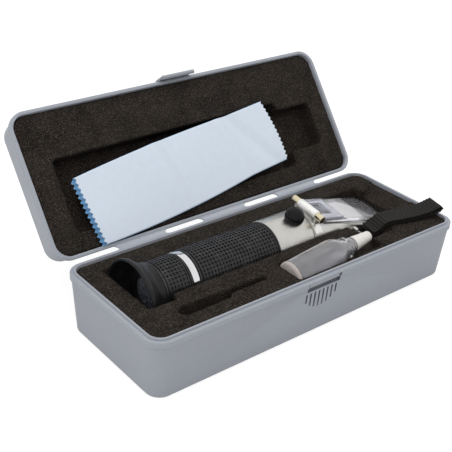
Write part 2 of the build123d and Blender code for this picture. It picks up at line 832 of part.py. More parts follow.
def make_bottle_body():
    """The blown body: a thin shell from its rounded base to its open mouth."""
    ring_end = bottle_ring_left + bottle_ring_width
    bore = bottle_mouth_radius - bottle_wall
    inner_radius = bottle_radius - bottle_wall
    floor = bottle_base + bottle_wall
    inner = [(bottle_mouth_end, bore), (bottle_ring_left, bore), (bottle_shoulder, inner_radius),
             (floor + bottle_corner, inner_radius), (floor, inner_radius - bottle_corner), (floor, 0)]
    outer = [(bottle_base, 0), (bottle_base, bottle_radius - bottle_corner),
             (bottle_base + 0.3 * bottle_corner, bottle_radius - 0.3 * bottle_corner),
             (bottle_base + bottle_corner, bottle_radius), (bottle_shoulder, bottle_radius),
             (bottle_ring_left, bottle_neck_radius), (bottle_ring_left, bottle_ring_radius),
             (ring_end, bottle_ring_radius), (ring_end, bottle_neck_radius),
             (bottle_neck_end, bottle_neck_radius), (bottle_neck_end, bottle_mouth_radius),
             (bottle_mouth_end, bottle_mouth_radius)]
    return bottle_place * turned(*outer, *inner)


def make_bottle_nozzle():
    """The plug pressed into the mouth, with its fine dropper tip."""
    bore = bottle_mouth_radius - bottle_wall - slip
    left = bottle_mouth_end - nozzle_plug_depth
    collar = bottle_mouth_end + 0.1
    return bottle_place * turned(
        (left, 0.5), (left, bore), (collar, bore), (collar, bottle_mouth_radius - 0.4),
        (collar + 0.8, bottle_mouth_radius - 0.4), (collar + 0.8, nozzle_radius),
        (collar + 0.8 + nozzle_length, nozzle_radius * 0.7), (collar + 0.8 + nozzle_length, 0.5))


def make_bottle_cap():
    """The tapered screw cap over the nozzle."""
    left = bottle_neck_end + 0.3
    right = left + cap_length
    bore = bottle_mouth_radius + 0.1
    deep = bottle_mouth_end + 1.3
    return bottle_place * turned(
        (left, bore), (left, cap_base_radius), (left + 1.0, cap_base_radius),
        (right - 1.2, cap_tip_radius + 0.3), (right - 0.3, cap_tip_radius - 0.4), (right, cap_tip_radius - 1.2),
        (right, 0), (right - cap_wall, 0), (right - cap_wall, nozzle_radius + 0.3), (deep, nozzle_radius + 0.7),
        (deep, bore))


pieces = {
    "case_base": make_case_base,
    "case_lid": make_case_lid,
    "hinge_webs": make_hinge_webs,
    "lid_latch": make_lid_latch,
    "base_foam": make_base_foam,
    "lid_foam": make_lid_foam,
    "cleaning_cloth": make_cleaning_cloth,
    "eyecup": make_eyecup,
    "eyepiece_grip": make_eyepiece_grip,
    "eyepiece_barrel": make_eyepiece_barrel,
    "eye_lens": make_eye_lens,
    "eye_lens_ring": make_eye_lens_ring,
    "collar": make_collar,
    "main_tube": make_main_tube,
    "rubber_grip": make_rubber_grip,
    "reticle": make_reticle,
    "field_stop": make_field_stop,
    "objective_lens": make_objective_lens,
    "objective_ring": make_objective_ring,
    "head_housing": make_head_housing,
    "prism": make_prism,
    "hinge_bracket": make_hinge_bracket,
    "hinge_pin": make_hinge_pin,
    "daylight_plate": make_daylight_plate,
    "plate_hinge": make_plate_hinge,
    "calibration_screw": make_calibration_screw,
    "calibration_cap": make_calibration_cap,
    "strap_lug": make_strap_lug,
    "strap_ring": make_strap_ring,
    "wrist_strap": make_wrist_strap,
    "bottle_body": make_bottle_body,
    "bottle_nozzle": make_bottle_nozzle,
    "bottle_cap": make_bottle_cap,
}

for node, make in pieces.items():
    export_step(make(), f"parts/{node}.step")
    print(node)
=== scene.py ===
import json
from math import atan2, ceil, cos, hypot, pi, radians, sin, sqrt

import bmesh
import bpy
from bpy.props import FloatProperty, FloatVectorProperty, IntProperty, PointerProperty
from mathutils import Matrix, Vector, noise

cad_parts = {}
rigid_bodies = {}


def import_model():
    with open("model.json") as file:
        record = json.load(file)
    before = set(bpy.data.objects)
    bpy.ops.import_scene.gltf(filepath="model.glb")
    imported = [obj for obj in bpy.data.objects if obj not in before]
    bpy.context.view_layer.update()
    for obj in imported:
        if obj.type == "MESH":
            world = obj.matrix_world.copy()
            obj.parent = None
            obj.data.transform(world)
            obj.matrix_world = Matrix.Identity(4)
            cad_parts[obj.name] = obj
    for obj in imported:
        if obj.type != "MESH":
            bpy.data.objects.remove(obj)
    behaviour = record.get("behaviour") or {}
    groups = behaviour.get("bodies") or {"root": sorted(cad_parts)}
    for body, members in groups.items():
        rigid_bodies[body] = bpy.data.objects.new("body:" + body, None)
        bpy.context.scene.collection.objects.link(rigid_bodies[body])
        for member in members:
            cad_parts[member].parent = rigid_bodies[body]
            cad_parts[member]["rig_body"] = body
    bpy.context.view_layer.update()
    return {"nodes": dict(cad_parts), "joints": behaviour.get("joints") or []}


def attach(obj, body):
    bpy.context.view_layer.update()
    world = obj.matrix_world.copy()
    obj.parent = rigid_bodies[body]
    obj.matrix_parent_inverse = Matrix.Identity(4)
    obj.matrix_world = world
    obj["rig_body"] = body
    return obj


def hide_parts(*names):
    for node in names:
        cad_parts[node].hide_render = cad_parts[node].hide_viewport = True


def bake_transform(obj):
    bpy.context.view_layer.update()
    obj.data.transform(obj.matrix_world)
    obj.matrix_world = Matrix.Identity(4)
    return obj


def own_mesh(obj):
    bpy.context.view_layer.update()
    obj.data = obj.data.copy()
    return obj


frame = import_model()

# A handheld refractometer in its open carry case: the case, its foams, the folded cloth,
# the instrument with its studded grip and prism head, the strap and the bottle.
# Lengths are in metres; mm stands for a millimetre.

bl_info = {
    "name": "Handheld refractometer kit",
    "version": (1, 0, 0),
    "blender": (4, 5, 0),
    "location": "3D View > Sidebar > Refractometer",
    "description": "Builds the case, foams, cloth, instrument, strap and bottle of a refractometer kit",
    "category": "Object",
}

mm = 0.001
hinge = next(joint for joint in frame["joints"] if joint["name"] == "lid_hinge")
hinge_point = Vector(hinge["pos_m"])
lid_opening = radians(-hinge["range_deg"][0])

# Where the lid, the instrument and the bottle lie; each is drawn in a plain pose of its own first.
opened = (Matrix.Translation(hinge_point) @ Matrix.Rotation(-lid_opening, 4, "X")
          @ Matrix.Translation(-hinge_point))
instrument = Matrix.Translation((0, 7.5 * mm, 26.5 * mm)) @ Matrix.Rotation(radians(8.5), 4, "X")
bottle_place = (Matrix.Translation((10 * mm, -24.4 * mm, 31.3 * mm))
                @ Matrix.Rotation(radians(-6.8), 4, "Y"))


# Settings

class RefractometerCaseSettings(bpy.types.PropertyGroup):
    """Sizes and colours of the case and what lies in it"""
    shell_colour: FloatVectorProperty(
        name="Shell colour", description="Colour of the moulded case", subtype="COLOR", size=3,
        min=0, max=1, default=(0.275, 0.292, 0.327))
    edge_rounding: FloatProperty(
        name="Edge rounding", description="Radius left on the moulded edges", unit="LENGTH",
        min=0, max=0.002, default=0.30 * mm)
    film_bow: FloatProperty(
        name="Hinge film bow", description="How far the living hinge's film bows out between the rims",
        unit="LENGTH", min=0, max=0.003, default=0.5 * mm)
    foam_colour: FloatVectorProperty(
        name="Foam colour", description="Colour of the cell walls of the foam", subtype="COLOR", size=3,
        min=0, max=1, default=(0.0165, 0.0138, 0.0118))
    foam_cell: FloatProperty(
        name="Foam cell", description="Size of the foam's open cells", unit="LENGTH",
        min=0.0002, max=0.003, default=0.55 * mm)
    foam_step: FloatProperty(
        name="Foam mesh step", description="Spacing of the points on the foams' surface", unit="LENGTH",
        min=0.0006, max=0.004, default=0.95 * mm)
    cloth_colour: FloatVectorProperty(
        name="Cloth colour", description="Colour of the cleaning cloth", subtype="COLOR", size=3,
        min=0, max=1, default=(0.593, 0.660, 0.743))
    cloth_length: FloatProperty(
        name="Cloth length", description="Length of the cloth, from one cut end to the other", unit="LENGTH",
        min=0.05, max=0.2, default=132 * mm)
    cloth_width: FloatProperty(
        name="Cloth width", description="Width of the cloth laid flat; it is folded in four", unit="LENGTH",
        min=0.05, max=0.3, default=148 * mm)
    pink_pitch: FloatProperty(
        name="Pinking pitch", description="Length of one tooth of the pinked cut", unit="LENGTH",
        min=0.001, max=0.006, default=2.7 * mm)


class RefractometerInstrumentSettings(bpy.types.PropertyGroup):
    """Sizes and colours of the instrument, its strap and the bottle"""
    metal_colour: FloatVectorProperty(
        name="Head colour", description="Colour of the turned aluminium head", subtype="COLOR", size=3,
        min=0, max=1, default=(0.66, 0.65, 0.615))
    rubber_colour: FloatVectorProperty(
        name="Rubber colour", description="Colour of the grip, eyecup and cap", subtype="COLOR", size=3,
        min=0, max=1, default=(0.0075, 0.0075, 0.008))
    rib_pitch: FloatProperty(
        name="Grip pitch", description="Spacing of the grip's raised lattice along the tube", unit="LENGTH",
        min=0.001, max=0.005, default=2.0 * mm)
    rib_width: FloatProperty(
        name="Grip rib width", description="Width of the raised ribs", unit="LENGTH",
        min=0.0002, max=0.002, default=0.75 * mm)
    rib_depth: FloatProperty(
        name="Grip pit depth", description="Depth of the square pits between the ribs", unit="LENGTH",
        min=0.0001, max=0.001, default=0.60 * mm)
    strap_pitch: FloatProperty(
        name="Strap rib pitch", description="Spacing of the cross ribs of the webbing", unit="LENGTH",
        min=0.001, max=0.004, default=1.9 * mm)
    facets: IntProperty(
        name="Facets round", description="Facets round a turned piece", min=24, max=256, default=96)


# Materials

def add(tree, kind, inputs=None, **settings):
    """Adds a node, with its settings and its inputs' values or links."""
    node = tree.nodes.new(kind)
    for name, value in settings.items():
        setattr(node, name, value)
    for name, value in (inputs or {}).items():
        if isinstance(value, bpy.types.NodeSocket):
            tree.links.new(value, node.inputs[name])
        else:
            node.inputs[name].default_value = value
    return node


def math(tree, operation, a, b=0.0):
    return add(tree, "ShaderNodeMath", {0: a, 1: b}, operation=operation).outputs[0]


def remap(tree, value, low, high, new_low, new_high):
    """Stretches the range low to high onto another one, held at its ends."""
    return add(tree, "ShaderNodeMapRange", {0: value, 1: low, 2: high, 3: new_low, 4: new_high}).outputs[0]


def mix(tree, amount, a, b):
    return add(tree, "ShaderNodeMix", {0: amount, 6: a, 7: b}, data_type="RGBA").outputs[2]


def noise_at(tree, where, scale, detail, roughness=0.5):
    return add(tree, "ShaderNodeTexNoise", {"Vector": where, "Scale": scale, "Detail": detail,
                                            "Roughness": roughness}).outputs[0]


def per_metre(tree, size):
    """The texture scale whose features have a size in metres."""
    return math(tree, "DIVIDE", 1.0, size)


def shade_group(name, inputs, outputs):
    """A shared shader group with named sockets, and its input and output nodes."""
    tree = bpy.data.node_groups.new(name, "ShaderNodeTree")
    for label, default in inputs.items():
        kind = "NodeSocketColor" if isinstance(default, tuple) else "NodeSocketFloat"
        tree.interface.new_socket(label, in_out="INPUT", socket_type=kind).default_value = default
    for label in outputs:
        kind = "NodeSocketColor" if label == "Colour" else "NodeSocketFloat"
        tree.interface.new_socket(label, in_out="OUTPUT", socket_type=kind)
    return tree, tree.nodes.new("NodeGroupInput").outputs, tree.nodes.new("NodeGroupOutput")


def hand_out(tree, result, values):
    """Links values to a group's named outputs."""
    for label, value in values.items():
        tree.links.new(value, result.inputs[label])
    return tree


def moulded_group():
    """Fine spark-eroded grain of a moulding, with faint clouding and rubbed spots."""
    tree, given, result = shade_group("Moulded grain", {
        "Colour": (0.3, 0.3, 0.3, 1), "Rubbed colour": (0.4, 0.4, 0.4, 1), "Grain size": 0.4 * mm,
        "Clouding": 0.3, "Roughness": 0.45}, ("Colour", "Roughness", "Height"))
    where = add(tree, "ShaderNodeTexCoord").outputs["Object"]
    grain = noise_at(tree, where, per_metre(tree, given["Grain size"]), 3.0, 0.6)
    clouds = noise_at(tree, where, 55.0, 5.0, 0.6)
    sparkle = remap(tree, grain, 0.35, 0.75, 0.0, 0.5)
    both = math(tree, "ADD", sparkle, math(tree, "MULTIPLY", clouds, given["Clouding"]))
    worn = remap(tree, clouds, 0.3, 0.7, -0.06, 0.06)
    return hand_out(tree, result, {
        "Colour": mix(tree, both, given["Colour"], given["Rubbed colour"]),
        "Roughness": math(tree, "ADD", given["Roughness"], worn), "Height": grain})


def foam_group():
    """Open cells of cut foam: pale cell walls, dark pits and larger soft patches."""
    tree, given, result = shade_group("Foam cells", {
        "Colour": (0.03, 0.03, 0.03, 1), "Wall colour": (0.1, 0.1, 0.1, 1),
        "Pit colour": (0.01, 0.01, 0.01, 1), "Cell size": 0.6 * mm}, ("Colour", "Height"))
    where = add(tree, "ShaderNodeTexCoord").outputs["Object"]
    scale = per_metre(tree, given["Cell size"])
    cells = add(tree, "ShaderNodeTexVoronoi", {"Vector": where, "Scale": scale}, feature="F1")
    wander = noise_at(tree, where, scale, 2.0)
    pits = remap(tree, cells.outputs["Distance"], 0.15, 0.75, 1.0, 0.0)
    flecks = remap(tree, wander, 0.50, 0.72, 0.0, 0.9)
    soft = remap(tree, noise_at(tree, where, 90.0, 4.0), 0.3, 0.8, 0.0, 0.22)
    dark = mix(tree, pits, given["Colour"], given["Pit colour"])
    return hand_out(tree, result, {
        "Colour": mix(tree, math(tree, "ADD", flecks, soft), dark, given["Wall colour"]),
        "Height": math(tree, "ADD", cells.outputs["Distance"], wander)})


def weave_group():
    """Plain weave on a piece's own UV map, whose units are metres of cloth."""
    tree, given, result = shade_group("Weave", {
        "Colour": (0.6, 0.7, 0.8, 1), "Shade colour": (0.4, 0.5, 0.6, 1), "Thread": 0.45 * mm,
        "Depth": 0.4}, ("Colour", "Height"))
    where = add(tree, "ShaderNodeTexCoord").outputs["UV"]
    place = add(tree, "ShaderNodeSeparateXYZ", {0: where})
    bands = []
    for axis, factor in ((0, 1.0), (1, 0.8)):
        turns = math(tree, "DIVIDE", place.outputs[axis], given["Thread"])
        bands.append(math(tree, "SINE", math(tree, "MULTIPLY", turns, 2 * pi * factor)))
    level = remap(tree, math(tree, "ADD", *bands), -2.0, 2.0, 0.0, 1.0)
    slub = noise_at(tree, where, 260.0, 4.0)
    amount = math(tree, "MULTIPLY", math(tree, "MULTIPLY", level, slub), given["Depth"])
    return hand_out(tree, result, {
        "Colour": mix(tree, amount, given["Colour"], given["Shade colour"]), "Height": level})


def turned_group():
    """Fine rings that a lathe tool leaves round the instrument's axis."""
    tree, given, result = shade_group("Turned rings", {
        "Colour": (0.6, 0.6, 0.6, 1), "Shade colour": (0.4, 0.4, 0.4, 1), "Ring pitch": 0.12 * mm,
        "Roughness": 0.3}, ("Colour", "Roughness", "Height"))
    where = add(tree, "ShaderNodeTexCoord").outputs["Object"]
    along = add(tree, "ShaderNodeSeparateXYZ", {0: where}).outputs[0]
    line = math(tree, "DIVIDE", along, given["Ring pitch"])
    rings = add(tree, "ShaderNodeTexNoise", {"W": line, "Scale": 1.0, "Detail": 3.0},
                noise_dimensions="1D").outputs[0]
    amount = math(tree, "MULTIPLY", rings, noise_at(tree, where, 140.0, 5.0))
    uneven = remap(tree, amount, 0.1, 0.5, -0.05, 0.09)
    return hand_out(tree, result, {
        "Colour": mix(tree, amount, given["Colour"], given["Shade colour"]),
        "Roughness": math(tree, "ADD", given["Roughness"], uneven), "Height": rings})


def dust_group():
    """Dusty bloom and small scuffs on dark rubber and black metal."""
    tree, given, result = shade_group("Bloom", {
        "Colour": (0.02, 0.02, 0.02, 1), "Bloom colour": (0.1, 0.1, 0.1, 1), "Amount": 0.4,
        "Roughness": 0.5}, ("Colour", "Roughness", "Height"))
    where = add(tree, "ShaderNodeTexCoord").outputs["Object"]
    spots = remap(tree, noise_at(tree, where, 220.0, 6.0, 0.65), 0.48, 0.8, 0.0, 1.0)
    amount = math(tree, "MULTIPLY", spots, given["Amount"])
    dull = math(tree, "MULTIPLY", amount, 0.25)
    return hand_out(tree, result, {
        "Colour": mix(tree, amount, given["Colour"], given["Bloom colour"]),
        "Roughness": math(tree, "ADD", given["Roughness"], dull),
        "Height": noise_at(tree, where, 2600.0, 2.0)})


group_makers = {"Moulded grain": moulded_group, "Foam cells": foam_group, "Weave": weave_group,
                "Turned rings": turned_group, "Bloom": dust_group}


def finish_of(name, group, values, relief=0.0, relief_depth=0.1 * mm, **shader):
    """A material: one shared group into a Principled shader with its own plain values."""
    found = bpy.data.materials.get(name)
    if found:
        return found
    material = bpy.data.materials.new(name)
    material.use_nodes = True
    tree = material.node_tree
    principled = tree.nodes["Principled BSDF"]
    for socket, value in shader.items():
        principled.inputs[socket.replace("_", " ")].default_value = value
    if group not in bpy.data.node_groups:
        group_makers[group]()
    surface = add(tree, "ShaderNodeGroup", node_tree=bpy.data.node_groups[group])
    for label, value in values.items():
        surface.inputs[label].default_value = value
    tree.links.new(surface.outputs["Colour"], principled.inputs["Base Color"])
    if "Roughness" in surface.outputs:
        tree.links.new(surface.outputs["Roughness"], principled.inputs["Roughness"])
    if relief:
        bump = add(tree, "ShaderNodeBump", {"Height": surface.outputs["Height"], "Strength": relief,
                                            "Distance": relief_depth})
        tree.links.new(bump.outputs[0], principled.inputs["Normal"])
    return material


def rgb(colour, factor=1.0):
    return tuple(min(1.0, channel * factor) for channel in colour[:3]) + (1.0,)


def moulded(name, colour, rubbed, grain, clouding, roughness, **surface):
    """A moulded plastic or a glass, with its grain's size in millimetres."""
    return finish_of(name, "Moulded grain", {
        "Colour": colour, "Rubbed colour": rubbed, "Grain size": grain * mm, "Clouding": clouding,
        "Roughness": roughness}, **surface)


def turned(name, colour, shaded, pitch, roughness, relief=0.1, relief_depth=0.01 * mm, Metallic=1.0):
    """A turned metal, with its rings' pitch in millimetres."""
    return finish_of(name, "Turned rings", {
        "Colour": colour, "Shade colour": shaded, "Ring pitch": pitch * mm, "Roughness": roughness},
        relief=relief, relief_depth=relief_depth, Metallic=Metallic)


def dusty(name, colour, bloom, amount, roughness, **surface):
    """Dark rubber or black metal under a bloom."""
    return finish_of(name, "Bloom", {
        "Colour": colour, "Bloom colour": bloom, "Amount": amount, "Roughness": roughness}, **surface)


def woven(name, colour, shaded, thread, depth, **surface):
    """A cloth, with its thread's width in millimetres."""
    return finish_of(name, "Weave", {
        "Colour": colour, "Shade colour": shaded, "Thread": thread * mm, "Depth": depth}, **surface)


def shell_plastic(case):
    return moulded("Silver moulded plastic", rgb(case.shell_colour, 0.92), rgb(case.shell_colour, 1.3),
                   0.45, 0.25, 0.46, relief=0.25, relief_depth=0.06 * mm)


# Darker copy of the shell plastic: painted shade for the catch's recess and the finger grooves.
def painted_recess_shade_plastic(case):
    return moulded("Silver plastic in recesses", rgb(case.shell_colour, 0.30),
                   rgb(case.shell_colour, 0.55), 0.6, 0.5, 0.55, relief=0.25, relief_depth=0.06 * mm)


def film_plastic(case):
    return moulded("Hinge film", rgb(case.shell_colour, 1.05), rgb(case.shell_colour, 1.5),
                   0.8, 0.5, 0.38, relief=0.2, relief_depth=0.05 * mm)


def open_foam(case):
    return finish_of(
        "Open cell foam", "Foam cells",
        {"Colour": rgb(case.foam_colour), "Wall colour": rgb(case.foam_colour, 5.0),
         "Pit colour": rgb(case.foam_colour, 0.25), "Cell size": case.foam_cell},
        relief=0.8, relief_depth=0.5 * mm, Roughness=0.95, Specular_IOR_Level=0.04)


def lens_cloth(case):
    return woven("Lens cloth", rgb(case.cloth_colour, 1.04), rgb(case.cloth_colour, 0.72), 0.62, 0.55,
                 relief=0.35, relief_depth=0.08 * mm, Roughness=0.85, Specular_IOR_Level=0.2,
                 Sheen_Weight=0.25)


def inner_cloth_painted_shade():
    """The layers under the cloth's top one, in a deeper blue that is painted shade between the layers."""
    return woven("Lens cloth, inner layers", (0.16, 0.33, 0.55, 1), (0.08, 0.19, 0.35, 1), 0.62, 0.55,
                 relief=0.35, relief_depth=0.08 * mm, Roughness=0.85, Specular_IOR_Level=0.2)


def webbing_nylon():
    return woven("Black webbing", (0.008, 0.0075, 0.007, 1), (0.035, 0.033, 0.031, 1), 0.5, 0.9,
                 relief=0.5, relief_depth=0.1 * mm, Roughness=0.66, Specular_IOR_Level=0.2)


def black_rubber(kit, roughness, shine=0.22):
    return dusty(f"Black rubber {roughness:.2f}", rgb(kit.rubber_colour), (0.05, 0.05, 0.053, 1), 0.3,
                 roughness, relief=0.15, relief_depth=0.04 * mm, Specular_IOR_Level=shine)


def grip_rubber(kit):
    return dusty("Grip rubber", rgb(kit.rubber_colour, 1.3), (0.09, 0.09, 0.092, 1), 0.45, 0.42,
                 relief=0.15, relief_depth=0.04 * mm, Specular_IOR_Level=0.46)


def black_anodised(kit):
    return dusty("Black anodised", rgb(kit.rubber_colour, 1.4), (0.04, 0.04, 0.043, 1), 0.3, 0.36,
                 relief=0.1, relief_depth=0.03 * mm, Metallic=0.4)


def satin_metal(kit):
    return turned("Satin aluminium", rgb(kit.metal_colour, 1.05), rgb(kit.metal_colour, 0.72),
                  0.16, 0.34, relief=0.25, relief_depth=0.02 * mm)


def bright_metal():
    return turned("Polished collar metal", (0.86, 0.86, 0.87, 1), (0.55, 0.55, 0.57, 1), 0.3, 0.16)


def pin_brass():
    return turned("Pin brass", (0.86, 0.77, 0.55, 1), (0.52, 0.42, 0.24, 1), 0.5, 0.22)


def ring_steel():
    return turned("Small steel parts", (0.60, 0.60, 0.61, 1), (0.25, 0.25, 0.26, 1), 0.5, 0.26)


def plated_steel():
    return turned("Bright plated bracket", (0.92, 0.91, 0.88, 1), (0.72, 0.71, 0.68, 1), 0.6, 0.30,
                  Metallic=0.85)


def clear_plastic():
    return moulded("Clear plate plastic", (0.93, 0.93, 0.98, 1), (0.98, 0.98, 1.0, 1), 6, 0.3, 0.06,
                   Transmission_Weight=0.96, IOR=1.14, Coat_Weight=0.7, Coat_Roughness=0.05)


def frame_plastic():
    return moulded("Plate frame plastic", (0.70, 0.69, 0.66, 1), (0.88, 0.87, 0.84, 1), 1.5, 0.4, 0.30,
                   relief=0.1, relief_depth=0.03 * mm, Coat_Weight=0.3, Coat_Roughness=0.15)


def clouded_plastic():
    return moulded("Clouded plate plastic", (0.50, 0.51, 0.58, 1), (0.80, 0.81, 0.86, 1), 2, 0.5, 0.18,
                   Transmission_Weight=0.55, IOR=1.2, Coat_Weight=0.5, Coat_Roughness=0.1)


def optical_glass():
    return moulded("Coated lens glass", (0.72, 0.80, 0.92, 1), (0.85, 0.8, 0.95, 1), 9, 0.4, 0.06,
                   Transmission_Weight=0.9, IOR=1.5)


def prism_glass():
    return moulded("Prism glass", (0.018, 0.028, 0.06, 1), (0.07, 0.09, 0.16, 1), 3, 0.5, 0.10,
                   Coat_Weight=0.6, Coat_Roughness=0.05)


def bottle_plastic():
    return moulded("Frosted bottle plastic", (0.74, 0.74, 0.78, 1), (0.95, 0.95, 0.97, 1), 5, 0.8, 0.10,
                   relief=0.1, relief_depth=0.05 * mm, Transmission_Weight=0.93, IOR=1.25,
                   Coat_Weight=0.5, Coat_Roughness=0.15)


def bottle_base():
    return moulded("Bottle base plastic", (0.52, 0.46, 0.43, 1), (0.72, 0.66, 0.62, 1), 2, 0.5, 0.35,
                   relief=0.1, relief_depth=0.05 * mm, Transmission_Weight=0.35, IOR=1.2)


def ivory_plastic():
    return moulded("Ivory cap plastic", (0.60, 0.58, 0.54, 1), (0.74, 0.72, 0.68, 1), 1.2, 0.4, 0.40,
                   relief=0.12, relief_depth=0.04 * mm)


# Shapes

def shade(mesh, sharp=32):
    mesh.shade_smooth()
    mesh.set_sharp_from_angle(angle=radians(sharp))


def new_piece(name, mesh, material, sharp=32):
    """Links an object at the origin whose place is in its mesh."""
    piece = bpy.data.objects.new(name, mesh)
    bpy.context.scene.collection.objects.link(piece)
    faces = [face.material_index for face in mesh.polygons]
    mesh.materials.clear()
    for each in material if isinstance(material, tuple) else (material,):
        mesh.materials.append(each)
    mesh.polygons.foreach_set("material_index", faces)
    if sharp:
        shade(mesh, sharp)
    return piece


def mesh_of(name, bm):
    mesh = bpy.data.meshes.new(name)
    bm.normal_update()
    bm.to_mesh(mesh)
    bm.free()
    return mesh


def baked(piece, name=None):
    """The plain mesh that a piece's modifiers make; the modifiers are removed."""
    evaluated = piece.evaluated_get(bpy.context.evaluated_depsgraph_get())
    mesh = bpy.data.meshes.new_from_object(evaluated)
    mesh.name = name or piece.name
    piece.modifiers.clear()
    return mesh


def drop(piece):
    bpy.data.objects.remove(piece)


def node_copy(node, dissolve=1.2):
    """A merged copy of a CAD node's mesh, with its flat faces joined up."""
    bm = bmesh.new()
    bm.from_mesh(frame["nodes"][node].data)
    bmesh.ops.remove_doubles(bm, verts=bm.verts, dist=1e-6)
    if dissolve:
        bmesh.ops.dissolve_limit(bm, angle_limit=radians(dissolve), verts=bm.verts, edges=bm.edges)
    return bm


def finished_node(node, name, material, rounding=0.0, sharp=32):
    """A CAD node's shape with its sharp edges softened, which stands for the node."""
    bm = node_copy(node)
    if rounding:
        edges = [edge for edge in bm.edges
                 if len(edge.link_faces) == 2 and edge.calc_face_angle(0) > radians(38)]
        bmesh.ops.bevel(bm, geom=edges, offset=rounding, offset_type="OFFSET", segments=2, profile=0.5,
                        affect="EDGES", clamp_overlap=True)
    piece = new_piece(name, mesh_of(name, bm), material, sharp)
    stand_for(piece, node)
    return piece


def stand_for(piece, *nodes):
    """Rides on the first node's body and hides the nodes."""
    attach(piece, frame["nodes"][nodes[0]]["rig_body"])
    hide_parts(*nodes)


def arc(centre, radius, start, end, steps):
    """Points (x, r) on an arc, in degrees from the +x direction."""
    return [(centre[0] + radius * cos(radians(start + (end - start) * i / steps)),
             centre[1] + radius * sin(radians(start + (end - start) * i / steps))) for i in range(steps + 1)]


def curve_through(points, steps):
    """A smooth line through points, the same number of steps between each two."""
    def spot(a, b, c, d, t):
        return tuple(0.5 * (2 * b[k] + (c[k] - a[k]) * t + (2 * a[k] - 5 * b[k] + 4 * c[k] - d[k]) * t * t
                            + (3 * b[k] - a[k] - 3 * c[k] + d[k]) * t ** 3) for k in range(len(b)))
    padded = [points[0], *points, points[-1]]
    line = []
    for i in range(1, len(padded) - 2):
        line += [spot(*padded[i - 1:i + 3], step / steps) for step in range(steps)]
    return line + [points[-1]]


def lathe(name, outline, place, facets):
    """Turns a closed outline of (x, r), in metres, about the X axis."""
    bm = bmesh.new()
    rings = []
    for x, r in outline:
        if r < 1e-7:
            rings.append([bm.verts.new((x, 0, 0))] * facets)
        else:
            rings.append([bm.verts.new((x, r * cos(2 * pi * i / facets), r * sin(2 * pi * i / facets)))
                          for i in range(facets)])
    count = len(rings)
    for j in range(count):
        a, b = rings[j], rings[(j + 1) % count]
        for i in range(facets):
            corners = []
            for vert in (a[i], b[i], b[(i + 1) % facets], a[(i + 1) % facets]):
                if vert not in corners:
                    corners.append(vert)
            if len(corners) > 2:
                bm.faces.new(corners)
    bmesh.ops.recalc_face_normals(bm, faces=bm.faces)
    bm.transform(place)
    return mesh_of(name, bm)


def rounded_outline(corners):
    """A closed outline of (x, r, rounding) corners, in millimetres, given back in metres."""
    line = []
    count = len(corners)
    for i, (x, r, rounding) in enumerate(corners):
        here = Vector((x, r))
        before = Vector(corners[i - 1][:2]) - here
        after = Vector(corners[(i + 1) % count][:2]) - here
        reach = min(rounding, 0.48 * before.length, 0.48 * after.length)
        if reach < 0.02:
            line.append((x * mm, r * mm))
            continue
        start, end = here + before.normalized() * reach, here + after.normalized() * reach
        for step in range(5):
            t = step / 4
            spot = start * (1 - t) ** 2 + here * 2 * t * (1 - t) + end * t * t
            line.append((spot.x * mm, spot.y * mm))
    return line


# Geometry Nodes trees

def geometry_tree(name, inputs):
    tree = bpy.data.node_groups.new(name, "GeometryNodeTree")
    tree.interface.new_socket("Geometry", in_out="INPUT", socket_type="NodeSocketGeometry")
    for label, kind in inputs:
        tree.interface.new_socket(label, in_out="INPUT", socket_type=kind)
    tree.interface.new_socket("Geometry", in_out="OUTPUT", socket_type="NodeSocketGeometry")
    return tree, tree.nodes.new("NodeGroupInput").outputs, tree.nodes.new("NodeGroupOutput")


def grown(piece, tree, **values):
    """Runs a geometry tree on a piece, with its named inputs, and bakes the result."""
    modifier = piece.modifiers.new(tree.name, "NODES")
    modifier.node_group = tree
    for item in tree.interface.items_tree:
        if item.item_type == "SOCKET" and item.in_out == "INPUT" and item.name in values:
            modifier[item.identifier] = values[item.name]
    bpy.context.view_layer.update()
    return baked(piece)


def joined_up(tree, both, material, result):
    """Turns joined instances into one mesh with a material, as the tree's result."""
    real = add(tree, "GeometryNodeRealizeInstances", {0: both.outputs[0]})
    coated = add(tree, "GeometryNodeSetMaterial", {"Geometry": real.outputs[0], "Material": material})
    tree.links.new(coated.outputs[0], result.inputs[0])
    return tree


